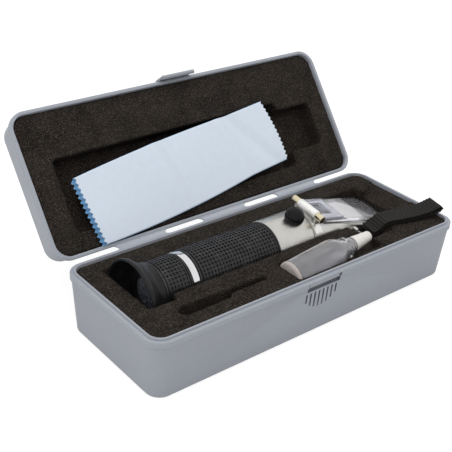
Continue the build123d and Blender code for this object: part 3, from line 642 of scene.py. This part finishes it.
def lattice_tree():
    """Raised rings and lengthwise ribs on a sleeve, which leave square pits between them."""
    tree, given, result = geometry_tree("Lattice grip", [
        ("Left", "NodeSocketFloat"), ("Length", "NodeSocketFloat"), ("Radius", "NodeSocketFloat"),
        ("Pitch", "NodeSocketFloat"), ("Rib width", "NodeSocketFloat"), ("Depth", "NodeSocketFloat"),
        ("Rings", "NodeSocketInt"), ("Ribs round", "NodeSocketInt"), ("Material", "NodeSocketMaterial")])
    middle_radius = math(tree, "SUBTRACT", given["Radius"], math(tree, "MULTIPLY", given["Depth"], 0.5))
    hoop = add(tree, "GeometryNodeCurvePrimitiveCircle", {"Resolution": 94, "Radius": middle_radius})
    hoop = add(tree, "GeometryNodeTransform", {"Geometry": hoop.outputs[0], "Rotation": (0, pi / 2, 0)})
    section = add(tree, "GeometryNodeCurvePrimitiveQuadrilateral",
                  {"Width": given["Depth"], "Height": given["Rib width"]})
    ring = add(tree, "GeometryNodeCurveToMesh", {"Curve": hoop.outputs[0],
                                                 "Profile Curve": section.outputs[0]})
    first = add(tree, "ShaderNodeCombineXYZ", {0: given["Left"]})
    step = add(tree, "ShaderNodeCombineXYZ", {0: given["Pitch"]})
    places = add(tree, "GeometryNodeMeshLine", {"Count": given["Rings"], "Start Location": first.outputs[0],
                                                "Offset": step.outputs[0]})
    rings = add(tree, "GeometryNodeInstanceOnPoints", {"Points": places.outputs[0],
                                                       "Instance": ring.outputs[0]})
    rib_size = add(tree, "ShaderNodeCombineXYZ", {0: given["Length"], 1: given["Rib width"],
                                                  2: given["Depth"]})
    rib = add(tree, "GeometryNodeMeshCube", {"Size": rib_size.outputs[0]})
    stations = add(tree, "GeometryNodeMeshLine", {"Count": given["Ribs round"]})
    index = add(tree, "GeometryNodeInputIndex").outputs[0]
    angle = math(tree, "MULTIPLY", math(tree, "DIVIDE", index, given["Ribs round"]), 2 * pi)
    centre = math(tree, "ADD", given["Left"], math(tree, "MULTIPLY", given["Length"], 0.5))
    sideways = math(tree, "MULTIPLY", math(tree, "SINE", angle), math(tree, "MULTIPLY", middle_radius, -1.0))
    upwards = math(tree, "MULTIPLY", math(tree, "COSINE", angle), middle_radius)
    spot = add(tree, "ShaderNodeCombineXYZ", {0: centre, 1: sideways, 2: upwards})
    round_points = add(tree, "GeometryNodeSetPosition", {"Geometry": stations.outputs[0],
                                                         "Position": spot.outputs[0]})
    turn = add(tree, "ShaderNodeCombineXYZ", {0: angle})
    ribs = add(tree, "GeometryNodeInstanceOnPoints", {
        "Points": round_points.outputs[0], "Instance": rib.outputs[0], "Rotation": turn.outputs[0]})
    both = tree.nodes.new("GeometryNodeJoinGeometry")
    for source in (ribs.outputs[0], rings.outputs[0], given["Geometry"]):
        tree.links.new(source, both.inputs[0])
    return joined_up(tree, both, given["Material"], result)


def webbing_tree():
    """A flat webbing along a curve, with a rounded rib across it at every step."""
    tree, given, result = geometry_tree("Ribbed webbing", [
        ("Width", "NodeSocketFloat"), ("Thickness", "NodeSocketFloat"), ("Pitch", "NodeSocketFloat"),
        ("Material", "NodeSocketMaterial")])
    section = add(tree, "GeometryNodeCurvePrimitiveQuadrilateral",
                  {"Width": given["Width"], "Height": math(tree, "MULTIPLY", given["Thickness"], 0.5)})
    fine = add(tree, "GeometryNodeResampleCurve", {"Curve": given["Geometry"],
                                                   "Length": math(tree, "MULTIPLY", given["Pitch"], 0.5)},
               mode="LENGTH")
    tape = add(tree, "GeometryNodeCurveToMesh", {
        "Curve": fine.outputs[0], "Profile Curve": section.outputs[0], "Fill Caps": True})
    marks = add(tree, "GeometryNodeCurveToPoints", {"Curve": given["Geometry"], "Length": given["Pitch"]},
                mode="LENGTH")
    rib = add(tree, "GeometryNodeMeshCylinder", {
        "Vertices": 8, "Radius": math(tree, "MULTIPLY", given["Thickness"], 0.5), "Depth": given["Width"]})
    rib = add(tree, "GeometryNodeTransform", {"Geometry": rib.outputs[0], "Rotation": (pi / 2, 0, 0)})
    ribs = add(tree, "GeometryNodeInstanceOnPoints", {
        "Points": marks.outputs["Points"], "Instance": rib.outputs[0]})
    both = tree.nodes.new("GeometryNodeJoinGeometry")
    for source in (tape.outputs[0], ribs.outputs[0]):
        tree.links.new(source, both.inputs[0])
    return joined_up(tree, both, given["Material"], result)


# Stage

class REFRACTOMETER_OT_stage(bpy.types.Operator):
    """Make the pale floor, the soft lights, the white surroundings and the camera"""
    bl_idname = "refractometer.stage"
    bl_label = "Floor, lights and camera"

    def execute(self, context):
        make_floor()
        make_surroundings(context.scene)
        for name, place, size, power in (
                ("KeyLight", (-0.55, -0.75, 1.15), 0.9, 9.0), ("TopLight", (0.25, 0.25, 1.3), 1.2, 8.0),
                ("SideLight", (-1.0, 0.35, 0.55), 0.7, 2.5)):
            lamp = bpy.data.lights.new(name, "AREA")
            lamp.size = size
            lamp.energy = power
            holder = bpy.data.objects.new(name, lamp)
            aim = Vector((0, 0.02, 0.03)) - Vector(place)
            turn = aim.to_track_quat("-Z", "Y").to_matrix().to_4x4()
            holder.matrix_world = Matrix.Translation(place) @ turn
            holder.visible_glossy = False
            context.scene.collection.objects.link(holder)
        make_camera(context.scene)
        context.scene.view_settings.view_transform = "Standard"
        return {"FINISHED"}


def make_floor():
    bm = bmesh.new()
    bmesh.ops.create_grid(bm, x_segments=2, y_segments=2, size=3.0)
    floor = bpy.data.objects.new("Floor", mesh_of("Floor", bm))
    bpy.context.scene.collection.objects.link(floor)
    material = bpy.data.materials.new("Pale floor")
    material.use_nodes = True
    tree = material.node_tree
    tree.nodes.clear()
    seen = add(tree, "ShaderNodeLightPath")
    direct = math(tree, "MAXIMUM", seen.outputs["Is Camera Ray"], seen.outputs["Is Transmission Ray"])
    cloth = add(tree, "ShaderNodeBsdfDiffuse", {"Color": (0.82, 0.82, 0.82, 1)})
    pale = add(tree, "ShaderNodeBsdfDiffuse", {"Color": (0.30, 0.30, 0.30, 1)})
    glow = add(tree, "ShaderNodeEmission", {"Color": (1, 1, 1, 1), "Strength": 0.80})
    bright = add(tree, "ShaderNodeAddShader", {0: pale.outputs[0], 1: glow.outputs[0]})
    mixed = add(tree, "ShaderNodeMixShader", {0: direct, 1: cloth.outputs[0], 2: bright.outputs[0]})
    out = add(tree, "ShaderNodeOutputMaterial")
    tree.links.new(mixed.outputs[0], out.inputs["Surface"])
    floor.data.materials.append(material)


def make_surroundings(scene):
    """White where the camera, metal and glass see it, and a plain soft level on everything else."""
    world = bpy.data.worlds.new("Soft studio")
    scene.world = world
    world.use_nodes = True
    tree = world.node_tree
    tree.nodes.clear()
    seen = add(tree, "ShaderNodeLightPath")
    through = math(tree, "MAXIMUM", seen.outputs["Is Camera Ray"], seen.outputs["Is Transmission Ray"])
    shown = math(tree, "MAXIMUM", through, math(tree, "MULTIPLY", seen.outputs["Is Glossy Ray"], 0.85))
    soft = add(tree, "ShaderNodeBackground", {"Color": (1, 1, 1, 1), "Strength": 0.50})
    white = add(tree, "ShaderNodeBackground", {"Color": (1, 1, 1, 1), "Strength": 1.0})
    mixed = add(tree, "ShaderNodeMixShader", {0: shown, 1: soft.outputs[0], 2: white.outputs[0]})
    out = add(tree, "ShaderNodeOutputWorld")
    tree.links.new(mixed.outputs[0], out.inputs["Surface"])


def make_camera(scene):
    around, above, lean = radians(-40.72), radians(29.04), radians(3.64)
    back = Vector((sin(around) * cos(above), -cos(around) * cos(above), sin(above)))
    level = Vector((cos(around), sin(around), 0))
    upright = back.cross(level)
    right = level * cos(lean) + upright * sin(lean)
    up = upright * cos(lean) - level * sin(lean)
    data = bpy.data.cameras.new("Camera")
    data.sensor_width = 36.0
    data.lens = 36.0 * 916.17 / 452
    data.clip_start = 0.01
    camera = bpy.data.objects.new("Camera", data)
    camera.matrix_world = Matrix.Translation((-0.2886, -0.2966, 0.2715)) @ Matrix(
        (right, up, back)).transposed().to_4x4()
    scene.collection.objects.link(camera)
    scene.camera = camera


# Case

class REFRACTOMETER_OT_case(bpy.types.Operator):
    """Make the base, the lid, the latch and the film of the living hinge"""
    bl_idname = "refractometer.case"
    bl_label = "Case and hinge"

    def execute(self, context):
        case = context.scene.refractometer_case
        plastic = shell_plastic(case)
        base = finished_node("case_base", "BaseShell", (plastic, painted_recess_shade_plastic(case)), case.edge_rounding)
        # The faces in the catch's recess and the finger grooves take the darker plastic as painted shade.
        paint_recess_shade(base)
        finished_node("case_lid", "LidShell", plastic, case.edge_rounding)
        finished_node("lid_latch", "LatchTongue", plastic, 0.15 * mm)
        make_hinge_film(case)
        return {"FINISHED"}


def paint_recess_shade(base):
    """Gives the faces in the catch's recess and the finger grooves the darker plastic, a painted shade for
    the shade that falls in them.
    """
    rim_height, rim_y, draft = 33.4 * mm, -38.5 * mm, 2.1 * mm
    half_width, lowest, highest = 13 * mm, 12 * mm, 32.6 * mm
    shallowest, deepest = 0.2 * mm, 2.2 * mm
    for face in base.data.polygons:
        centre = face.center
        wall = rim_y + draft * (1 - centre.z / rim_height)
        narrow = all(abs(base.data.vertices[i].co.x) < half_width for i in face.vertices)
        if narrow and lowest < centre.z < highest and shallowest < centre.y - wall < deepest:
            face.material_index = 1


def make_hinge_film(case):
    """Three thin films that bow from rim to rim and flare where the slots between them end."""
    near = Vector((0, 39.0, 33.0)) * mm
    far = opened @ (Vector((0, 39.0, 33.8)) * mm)
    out = (far - near).cross(Vector((1, 0, 0))).normalized()
    if out.z > 0:
        out.negate()
    bm = bmesh.new()
    for middle in (-54.0, 0.2, 54.0):
        rows = []
        for j in range(13):
            t = j / 12
            flare = (2.2 * abs(2 * t - 1) ** 2.4) * mm
            half = 14.6 * mm + flare
            height = near.lerp(far, t) + out * case.film_bow * 4 * t * (1 - t)
            rows.append([bm.verts.new((middle * mm + half * (i / 8 - 1), height.y, height.z))
                         for i in range(17)])
        for a, b in zip(rows, rows[1:]):
            for i in range(16):
                bm.faces.new((a[i], a[i + 1], b[i + 1], b[i]))
    bmesh.ops.recalc_face_normals(bm, faces=bm.faces)
    film = new_piece("HingeFilm", mesh_of("HingeFilm", bm), film_plastic(case), 60)
    wall = film.modifiers.new("Thickness", "SOLIDIFY")
    wall.thickness = 0.7 * mm
    wall.offset = 0
    mesh = baked(film)
    drop(film)
    film = new_piece("HingeFilm", mesh, film_plastic(case), 60)
    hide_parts("hinge_webs")
    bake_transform(film)


# Foams

class REFRACTOMETER_OT_foams(bpy.types.Operator):
    """Make the cut foam in the base and the foam with a hollow in the lid"""
    bl_idname = "refractometer.foams"
    bl_label = "Foams"

    def execute(self, context):
        case = context.scene.refractometer_case
        mesh = mesh_of("BaseFoamBlank", node_copy("base_foam", 0))
        base = new_piece("BaseFoamBlank", mesh, open_foam(case), 0)
        base_piece = soft_foam(base, "BaseFoam", case)
        stand_for(base_piece, "base_foam")
        lid_piece = soft_foam(lid_foam_blank(case), "LidFoam", case)
        stand_for(lid_piece, "lid_foam")
        return {"FINISHED"}


def soft_foam(blank, name, case):
    """Remeshes a sharp block and lets its edges and faces give a little, as cut foam does."""
    remesh = blank.modifiers.new("Skin", "REMESH")
    remesh.mode = "VOXEL"
    remesh.voxel_size = case.foam_step * 1.0
    ease = blank.modifiers.new("Ease", "SMOOTH")
    ease.factor = 0.5
    ease.iterations = 2
    mesh = baked(blank, name)
    drop(blank)
    normals = [vert.normal.copy() for vert in mesh.vertices]
    for vert, normal in zip(mesh.vertices, normals):
        wave = noise.noise(vert.co * 55) * 0.12 + noise.noise(vert.co * 420) * 0.10
        vert.co += normal * (wave - 0.08) * mm
    return new_piece(name, mesh, open_foam(case), 180)


def prism_bm(outline, low, high):
    """A closed upright block over an outline of (x, y) points."""
    bm = bmesh.new()
    lower = [bm.verts.new((x, y, low)) for x, y in outline]
    upper = [bm.verts.new((x, y, high)) for x, y in outline]
    bm.faces.new(lower[::-1])
    bm.faces.new(upper)
    count = len(outline)
    for i in range(count):
        bm.faces.new((lower[i], lower[(i + 1) % count], upper[(i + 1) % count], upper[i]))
    bmesh.ops.recalc_face_normals(bm, faces=bm.faces)
    return bm


def rounded_rectangle(left, right, front, rear, radius, steps=6):
    corners = ((right - radius, rear - radius, 0), (left + radius, rear - radius, 90),
               (left + radius, front + radius, 180), (right - radius, front + radius, 270))
    return [(x + radius * cos(radians(start + 90 * i / steps)),
             y + radius * sin(radians(start + 90 * i / steps)))
            for x, y, start in corners for i in range(steps + 1)]


def lid_foam_blank(case):
    """The lid's foam, drawn with the lid shut and swung open: a slab with a stepped hollow."""
    inset = 2.1 * mm
    outside = rounded_rectangle(-102.5 * mm + inset, 102.5 * mm - inset, -39 * mm + inset,
                                39 * mm - inset, 7.4 * mm)
    slab = prism_bm(outside, 34.8 * mm, 48.4 * mm)
    hollow = rounded_rectangle(-86 * mm, 63 * mm, -12 * mm, 27 * mm, 3 * mm)
    narrow = rounded_rectangle(50 * mm, 88 * mm, -7.2 * mm, 18.8 * mm, 3 * mm)
    blank = new_piece("LidFoamBlank", mesh_of("LidFoamBlank", slab), open_foam(case), 0)
    for outline in (hollow, narrow):
        shape = mesh_of("Hollow", prism_bm(outline, 30 * mm, 46.6 * mm))
        cutter = new_piece("Hollow", shape, open_foam(case), 0)
        cut = blank.modifiers.new("Cut", "BOOLEAN")
        cut.operation = "DIFFERENCE"
        cut.solver = "EXACT"
        cut.object = cutter
        mesh = baked(blank)
        drop(cutter)
        drop(blank)
        blank = new_piece("LidFoamBlank", mesh, open_foam(case), 0)
    blank.data.transform(opened)
    return blank


# Cloth

class REFRACTOMETER_OT_cloth(bpy.types.Operator):
    """Make the cleaning cloth, folded in four, with pinked ends"""
    bl_idname = "refractometer.cloth"
    bl_label = "Cleaning cloth"

    def execute(self, context):
        case = context.scene.refractometer_case
        cloth = make_cloth(case)
        stand_for(cloth, "cleaning_cloth")
        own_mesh(cloth)
        return {"FINISHED"}


def fold_path(folded, gap):
    """(across, height) points of the cloth's section, folded in half twice."""
    line = [(0.6 * mm, 0.0)]
    line += arc((folded - 1.5 * gap, 1.5 * gap), 1.5 * gap, -90, 90, 8)
    line += arc((0.5 * gap, 2.5 * gap), 0.5 * gap, 90, 270, 5)
    line += arc((folded - 2.2 * gap, 1.5 * gap), 0.5 * gap, 90, -90, 5)
    line += [(1.6 * mm, gap)]
    return line


def make_cloth(case):
    folded = case.cloth_width / 4
    gap = 0.42 * mm
    path = fold_path(folded, gap)
    step = case.pink_pitch / 4
    samples = [(path[0], 0.0)]
    travelled = 0.0
    for a, b in zip(path, path[1:]):
        span = hypot(b[0] - a[0], b[1] - a[1])
        pieces = max(1, ceil(span / step))
        for i in range(1, pieces + 1):
            t = i / pieces
            samples.append(((a[0] + (b[0] - a[0]) * t, a[1] + (b[1] - a[1]) * t), travelled + span * t))
        travelled += span
    half = case.cloth_length / 2
    tooth = case.pink_pitch * 0.55
    spans = 120
    columns = [-1 + 2 * i / spans for i in range(spans + 1)]
    place = (opened @ Matrix.Translation((-12 * mm, (39 - 27.6) * mm, 34.5 * mm))
             @ Matrix.Rotation(radians(-6.4), 4, "Z") @ Matrix.Diagonal((1, 1, -1, 1))
             @ Matrix.Translation((0, -folded / 2, 0)))
    bm = bmesh.new()
    uv_layer = bm.loops.layers.uv.new("Weave")
    rows = []
    for (across, height), run in samples:
        wave = abs((run / case.pink_pitch) % 1.0 - 0.5) * 2 * tooth
        inner = 1 - height / (3 * gap)
        row = []
        for u in columns:
            along = u * (half - wave * max(0.0, (abs(u) - 0.9) / 0.1))
            along -= 1.7 * mm * inner * max(0.0, -u) ** 3
            belly = max(0.0, 1 - ((along + 15 * mm) / (52 * mm)) ** 2)
            off_middle = across - folded / 2
            bulge = 1.8 * mm * max(0.0, u) ** 4 * (1 - (off_middle / folded * 1.9) ** 2)
            rise = cloth_rise(along, across)
            lift = 1.0 + 0.55 * rise
            spot = Vector((along + bulge, across + off_middle * 0.085 * belly + 0.4 * mm * belly,
                           0.35 * mm + height * lift + 0.75 * mm * rise))
            row.append((bm.verts.new(place @ spot), (along, run)))
        rows.append((row, inner > 0.1))
    for (a, _), (b, under) in zip(rows, rows[1:]):
        for i in range(spans):
            corners = (a[i], a[i + 1], b[i + 1], b[i])
            face = bm.faces.new([vert for vert, _ in corners])
            # The layers under the top one take the deeper blue of painted shade.
            face.material_index = 1 if under else 0
            for loop, (_, uv) in zip(face.loops, corners):
                loop[uv_layer].uv = uv
    bmesh.ops.recalc_face_normals(bm, faces=bm.faces)
    layers = (lens_cloth(case), inner_cloth_painted_shade())
    cloth = new_piece("CleaningCloth", mesh_of("CleaningCloth", bm), layers, 180)
    wall = cloth.modifiers.new("Thickness", "SOLIDIFY")
    wall.thickness = 0.26 * mm
    wall.offset = 0
    mesh = baked(cloth)
    drop(cloth)
    return new_piece("CleaningCloth", mesh, layers, 60)


def cloth_rise(along, across):
    """Soft swells and two cross creases of the laid cloth, from 0 to about 1."""
    swell = 0.5 + 0.5 * noise.noise(Vector((along * 22, across * 30, 3.1)))
    creases = 0.0
    for place, lean, height in ((-14 * mm, 0.1, 1.5), (33 * mm, 0.12, 1.1), (47 * mm, 0.6, -0.8)):
        distance = (along - place - lean * (across - 18 * mm)) / (7.0 * mm)
        creases += height * max(0.0, 1 - sqrt(distance * distance + 0.01))
    return swell + creases


# Eyepiece

class REFRACTOMETER_OT_eyepiece(bpy.types.Operator):
    """Make the flared eyecup, the focusing ring, the barrel and the eye lens"""
    bl_idname = "refractometer.eyepiece"
    bl_label = "Eyepiece"

    def execute(self, context):
        kit = context.scene.refractometer_kit
        cup = new_piece("Eyecup", lathe("Eyecup", cup_outline(), instrument, kit.facets),
                        black_rubber(kit, 0.34), 40)
        stand_for(cup, "eyecup")
        lattice_sleeve("FocusingRing", "eyepiece_grip", -72.0, -56.3, 14.4, 13.05, kit)
        finished_node("eyepiece_barrel", "EyepieceBarrel", black_anodised(kit))
        finished_node("eye_lens_ring", "EyeLensRing", black_anodised(kit))
        finished_node("eye_lens", "EyeLens", optical_glass())
        return {"FINISHED"}


def cup_outline():
    """The closed section of the soft cup: outer flare, round lip, inner bowl and neck."""
    outer = curve_through([(-73.6, 15.0), (-76.0, 15.6), (-78.6, 17.2), (-81.4, 19.3), (-82.9, 19.95)], 5)
    lip = curve_through([(-82.9, 19.95), (-83.7, 19.85), (-84.0, 19.2), (-83.6, 18.55), (-82.6, 18.2)], 4)
    inner = curve_through([(-82.6, 18.2), (-80.4, 17.0), (-78.2, 15.1), (-77.0, 13.9)], 5)
    line = [(-72.3, 13.05), (-72.3, 14.5), (-72.6, 14.9), *outer[:-1], *lip[:-1], *inner, (-76.6, 13.05)]
    return [(x * mm, r * mm) for x, r in line]


def lattice_sleeve(name, node, left, right, radius, bore, kit):
    """A rubber sleeve with solid end rims and a raised lattice between them."""
    pitch, width, depth = kit.rib_pitch, kit.rib_width, kit.rib_depth
    under = radius - depth / mm
    rim = 1.0
    outline = rounded_outline([
        (left, bore, 0), (left, radius, 0.3), (left + rim, radius, 0.2), (left + rim, under, 0),
        (right - rim, under, 0), (right - rim, radius, 0.2), (right, radius, 0.3), (right, bore, 0)])
    sleeve = lathe(name, outline, Matrix.Identity(4), kit.facets)
    blank = new_piece(name + "Blank", sleeve, grip_rubber(kit), 32)
    inside = (right - left - 2 * rim) * mm
    rings = round(inside / pitch)
    step = inside / rings
    tree = bpy.data.node_groups.get("Lattice grip") or lattice_tree()
    mesh = grown(blank, tree, **{
        "Left": (left + rim) * mm + step / 2, "Length": inside - step, "Radius": radius * mm, "Pitch": step,
        "Rib width": width, "Depth": depth, "Rings": rings, "Material": grip_rubber(kit),
        "Ribs round": round(2 * pi * radius * mm / pitch)})
    drop(blank)
    mesh.transform(instrument)
    piece = new_piece(name, mesh, grip_rubber(kit), 32)
    stand_for(piece, node)
    return piece


# Tube

class REFRACTOMETER_OT_tube(bpy.types.Operator):
    """Make the collar, the patterned grip, the tube and the optics inside it"""
    bl_idname = "refractometer.tube"
    bl_label = "Collar, tube and grip"

    def execute(self, context):
        kit = context.scene.refractometer_kit
        collar = rounded_outline([(-56, 13.0, 0), (-56, 14.6, 0.7), (-52, 14.6, 0.7), (-52, 13.0, 0)])
        mesh = lathe("BrightCollar", collar, instrument, kit.facets)
        ring = new_piece("BrightCollar", mesh, bright_metal(), 50)
        stand_for(ring, "collar")
        lattice_sleeve("TubeGrip", "rubber_grip", -52.0, 0.0, 15.0, 13.0, kit)
        finished_node("main_tube", "MainTube", black_anodised(kit))
        finished_node("reticle", "ScaleDisc", optical_glass())
        finished_node("field_stop", "FieldStop", black_anodised(kit))
        finished_node("objective_lens", "ObjectiveLens", optical_glass())
        finished_node("objective_ring", "ObjectiveRing", black_anodised(kit))
        return {"FINISHED"}


# Head

class REFRACTOMETER_OT_head(bpy.types.Operator):
    """Make the prism head with its bracket, pin, plate, calibration cap and strap lug"""
    bl_idname = "refractometer.head"
    bl_label = "Prism head"

    def execute(self, context):
        kit = context.scene.refractometer_kit
        finished_node("head_housing", "HeadHousing", satin_metal(kit), 0.2 * mm)
        finished_node("prism", "Prism", prism_glass(), 0.1 * mm)
        finished_node("hinge_bracket", "HingeBracket", plated_steel(), 0.12 * mm)
        make_pin(kit)
        finished_node("daylight_plate", "DaylightPlate", clear_plastic(), 0.3 * mm)
        make_plate_frame()
        finished_node("calibration_screw", "CalibrationScrew", ring_steel())
        make_cap(kit)
        finished_node("strap_lug", "StrapLug", satin_metal(kit), 0.15 * mm)
        finished_node("strap_ring", "StrapRing", ring_steel())
        return {"FINISHED"}


def make_plate_frame():
    """The hinge bar in pale plastic and, beyond it, the clouded frame round the window."""
    frame_piece = finished_node("plate_hinge", "PlateHinge", (frame_plastic(), clouded_plastic()), 0.2 * mm)
    flat = instrument.inverted()
    bar_end = 31.0 * mm
    for face in frame_piece.data.polygons:
        face.material_index = 1 if (flat @ face.center).x > bar_end else 0


def make_pin(kit):
    """The hinge pin, whose thick turned ends cover the bracket's ears."""
    outline = rounded_outline([
        (-11.6, 0, 0), (-11.6, 2.0, 0.4), (-6.95, 2.0, 0.3), (-6.95, 1.2, 0), (6.95, 1.2, 0),
        (6.95, 2.0, 0.3), (11.6, 2.0, 0.4), (11.6, 0, 0)])
    place = (instrument @ Matrix.Translation((28.2 * mm, 0, 17.2 * mm)) @ Matrix.Rotation(pi / 2, 4, "Z"))
    stand_for(new_piece("HingePin", lathe("HingePin", outline, place, 48), pin_brass(), 32), "hinge_pin")


def make_cap(kit):
    """The glossy round cap, cut to sit on the turned head."""
    place = (instrument @ Matrix.Translation((16.9 * mm, 0, 0)) @ Matrix.Rotation(radians(5.5), 4, "X")
             @ Matrix.Rotation(-pi / 2, 4, "Y"))
    outline = [(x * mm, r * mm) for x, r in [(13.33, 0)] + arc((16.8, 0), 5.4, 130, 0, 26)]
    seat = [(x * mm, r * mm) for x, r in ((2, 0), (2, 15.4), (32, 15.4), (32, 0))]
    rubber = black_rubber(kit, 0.12, 0.14)
    ball = new_piece("CapBlank", lathe("CapBlank", outline, place, 64), rubber, 32)
    head = new_piece("CapSeat", lathe("CapSeat", seat, instrument, 160), rubber, 32)
    cut = ball.modifiers.new("Seat", "BOOLEAN")
    cut.operation = "DIFFERENCE"
    cut.solver = "EXACT"
    cut.object = head
    mesh = baked(ball, "CalibrationCap")
    drop(head)
    drop(ball)
    stand_for(new_piece("CalibrationCap", mesh, rubber, 32), "calibration_cap")


# Strap

class REFRACTOMETER_OT_strap(bpy.types.Operator):
    """Make the doubled, ribbed webbing of the wrist strap"""
    bl_idname = "refractometer.strap"
    bl_label = "Wrist strap"

    def execute(self, context):
        kit = context.scene.refractometer_kit
        strap = make_strap(kit)
        stand_for(strap, "wrist_strap")
        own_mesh(strap)
        return {"FINISHED"}


def make_strap(kit):
    """Two plies that part a little at the ring end and meet in a rounded loop at the far end."""
    width, thickness = 11.0 * mm, 1.4 * mm
    low_ply = [(0.6, 29.7), (3.4, 30.2), (6.4, 32.6), (9.4, 34.6), (18, 34.75), (27, 34.8), (36, 35.4),
               (41.4, 36.6)]
    loop = [(43.6, 37.2), (44.6, 38.6), (43.4, 39.7)]
    high_ply = [(40.6, 39.0), (36, 37.6), (27, 36.5), (18, 36.4), (9.2, 36.2), (5.8, 34.2), (3.0, 31.9),
                (0.6, 31.4)]
    route = curve_through([(x * mm, z * mm) for x, z in low_ply + loop + high_ply], 5)
    data = bpy.data.curves.new("StrapRoute", "CURVE")
    data.dimensions = "3D"
    spline = data.splines.new("POLY")
    spline.points.add(len(route) - 1)
    for point, (x, z) in zip(spline.points, route):
        point.co = (x, 0, z, 1)
    route_piece = bpy.data.objects.new("StrapRoute", data)
    bpy.context.scene.collection.objects.link(route_piece)
    tree = bpy.data.node_groups.get("Ribbed webbing") or webbing_tree()
    mesh = grown(route_piece, tree, **{
        "Width": width, "Thickness": thickness, "Pitch": kit.strap_pitch, "Material": webbing_nylon()})
    drop(route_piece)
    mesh.transform(Matrix.Translation((57.4 * mm, -13.6 * mm, 0)) @ Matrix.Rotation(radians(-14), 4, "Z"))
    return new_piece("WristStrap", mesh, webbing_nylon(), 40)


# Bottle

class REFRACTOMETER_OT_bottle(bpy.types.Operator):
    """Make the frosted bottle, its dropper plug and its tapered cap"""
    bl_idname = "refractometer.bottle"
    bl_label = "Bottle"

    def execute(self, context):
        make_bottle(context.scene.refractometer_kit)
        nozzle = [(24.5, 0.5, 0), (24.5, 2.6, 0.1), (29.4, 2.6, 0.2), (29.4, 1.2, 0), (33.2, 0.8, 0.2),
                  (33.2, 0.5, 0)]
        cap = [(23.9, 3.2, 0), (23.9, 4.1, 0.3), (25.0, 4.0, 0.5), (36.2, 2.7, 1.1), (36.2, 0, 0),
               (34.6, 0, 0), (34.0, 1.8, 0.3), (29.0, 3.0, 0)]
        facets = context.scene.refractometer_kit.facets
        for name, node, corners in (("BottleNozzle", "bottle_nozzle", nozzle),
                                    ("BottleCap", "bottle_cap", cap)):
            mesh = lathe(name, rounded_outline(corners), bottle_place, facets)
            stand_for(new_piece(name, mesh, ivory_plastic()), node)
        return {"FINISHED"}


def make_bottle(kit):
    """The blown bottle: a thin shell with soft shoulders, a ring on its neck and an ivory base."""
    outline = rounded_outline([
        (-20.8, 0, 0), (-20.8, 8.4, 1.8), (11.0, 8.4, 2.8), (16.9, 5.2, 1.2), (17.4, 6.0, 0.3),
        (19.0, 6.0, 0.4), (19.4, 4.6, 0.3), (23.6, 4.4, 0.5), (23.6, 3.1, 0), (28.5, 3.1, 0.2),
        (28.5, 2.65, 0), (23.0, 2.65, 0), (22.4, 3.7, 0.5), (17.2, 4.1, 1.0), (11.2, 7.5, 2.4),
        (-18.8, 7.5, 1.4), (-18.8, 0, 0)])
    base_top = -18.7 * mm
    mesh = lathe("BottleBody", outline, Matrix.Identity(4), kit.facets)
    bottle = new_piece("BottleBody", mesh, (bottle_plastic(), bottle_base()), 50)
    for face in mesh.polygons:
        if face.center.x < base_top:
            face.material_index = 1
    mesh.transform(bottle_place)
    stand_for(bottle, "bottle_body")


# Sidebar

class REFRACTOMETER_PT_panel(bpy.types.Panel):
    """Lists the pieces of the refractometer kit and their settings"""
    bl_idname = "REFRACTOMETER_PT_panel"
    bl_label = "Refractometer kit"
    bl_space_type = "VIEW_3D"
    bl_region_type = "UI"
    bl_category = "Refractometer"

    def draw(self, context):
        for step in steps:
            self.layout.operator(step.bl_idname)
        for settings in (context.scene.refractometer_case, context.scene.refractometer_kit):
            box = self.layout.box()
            for name in settings.__annotations__:
                box.prop(settings, name)


steps = (
    REFRACTOMETER_OT_stage, REFRACTOMETER_OT_case, REFRACTOMETER_OT_foams, REFRACTOMETER_OT_cloth,
    REFRACTOMETER_OT_eyepiece, REFRACTOMETER_OT_tube, REFRACTOMETER_OT_head, REFRACTOMETER_OT_strap,
    REFRACTOMETER_OT_bottle)
classes = (RefractometerCaseSettings, RefractometerInstrumentSettings, *steps, REFRACTOMETER_PT_panel)


def register():
    for each in classes:
        bpy.utils.register_class(each)
    bpy.types.Scene.refractometer_case = PointerProperty(type=RefractometerCaseSettings)
    bpy.types.Scene.refractometer_kit = PointerProperty(type=RefractometerInstrumentSettings)


def unregister():
    del bpy.types.Scene.refractometer_kit
    del bpy.types.Scene.refractometer_case
    for each in reversed(classes):
        bpy.utils.unregister_class(each)


def main():
    register()
    bpy.ops.refractometer.stage()
    bpy.ops.refractometer.case()
    bpy.ops.refractometer.foams()
    bpy.ops.refractometer.cloth()
    bpy.ops.refractometer.eyepiece()
    bpy.ops.refractometer.tube()
    bpy.ops.refractometer.head()
    bpy.ops.refractometer.strap()
    bpy.ops.refractometer.bottle()
    bpy.context.view_layer.update()


if __name__ == "__main__":
    main()
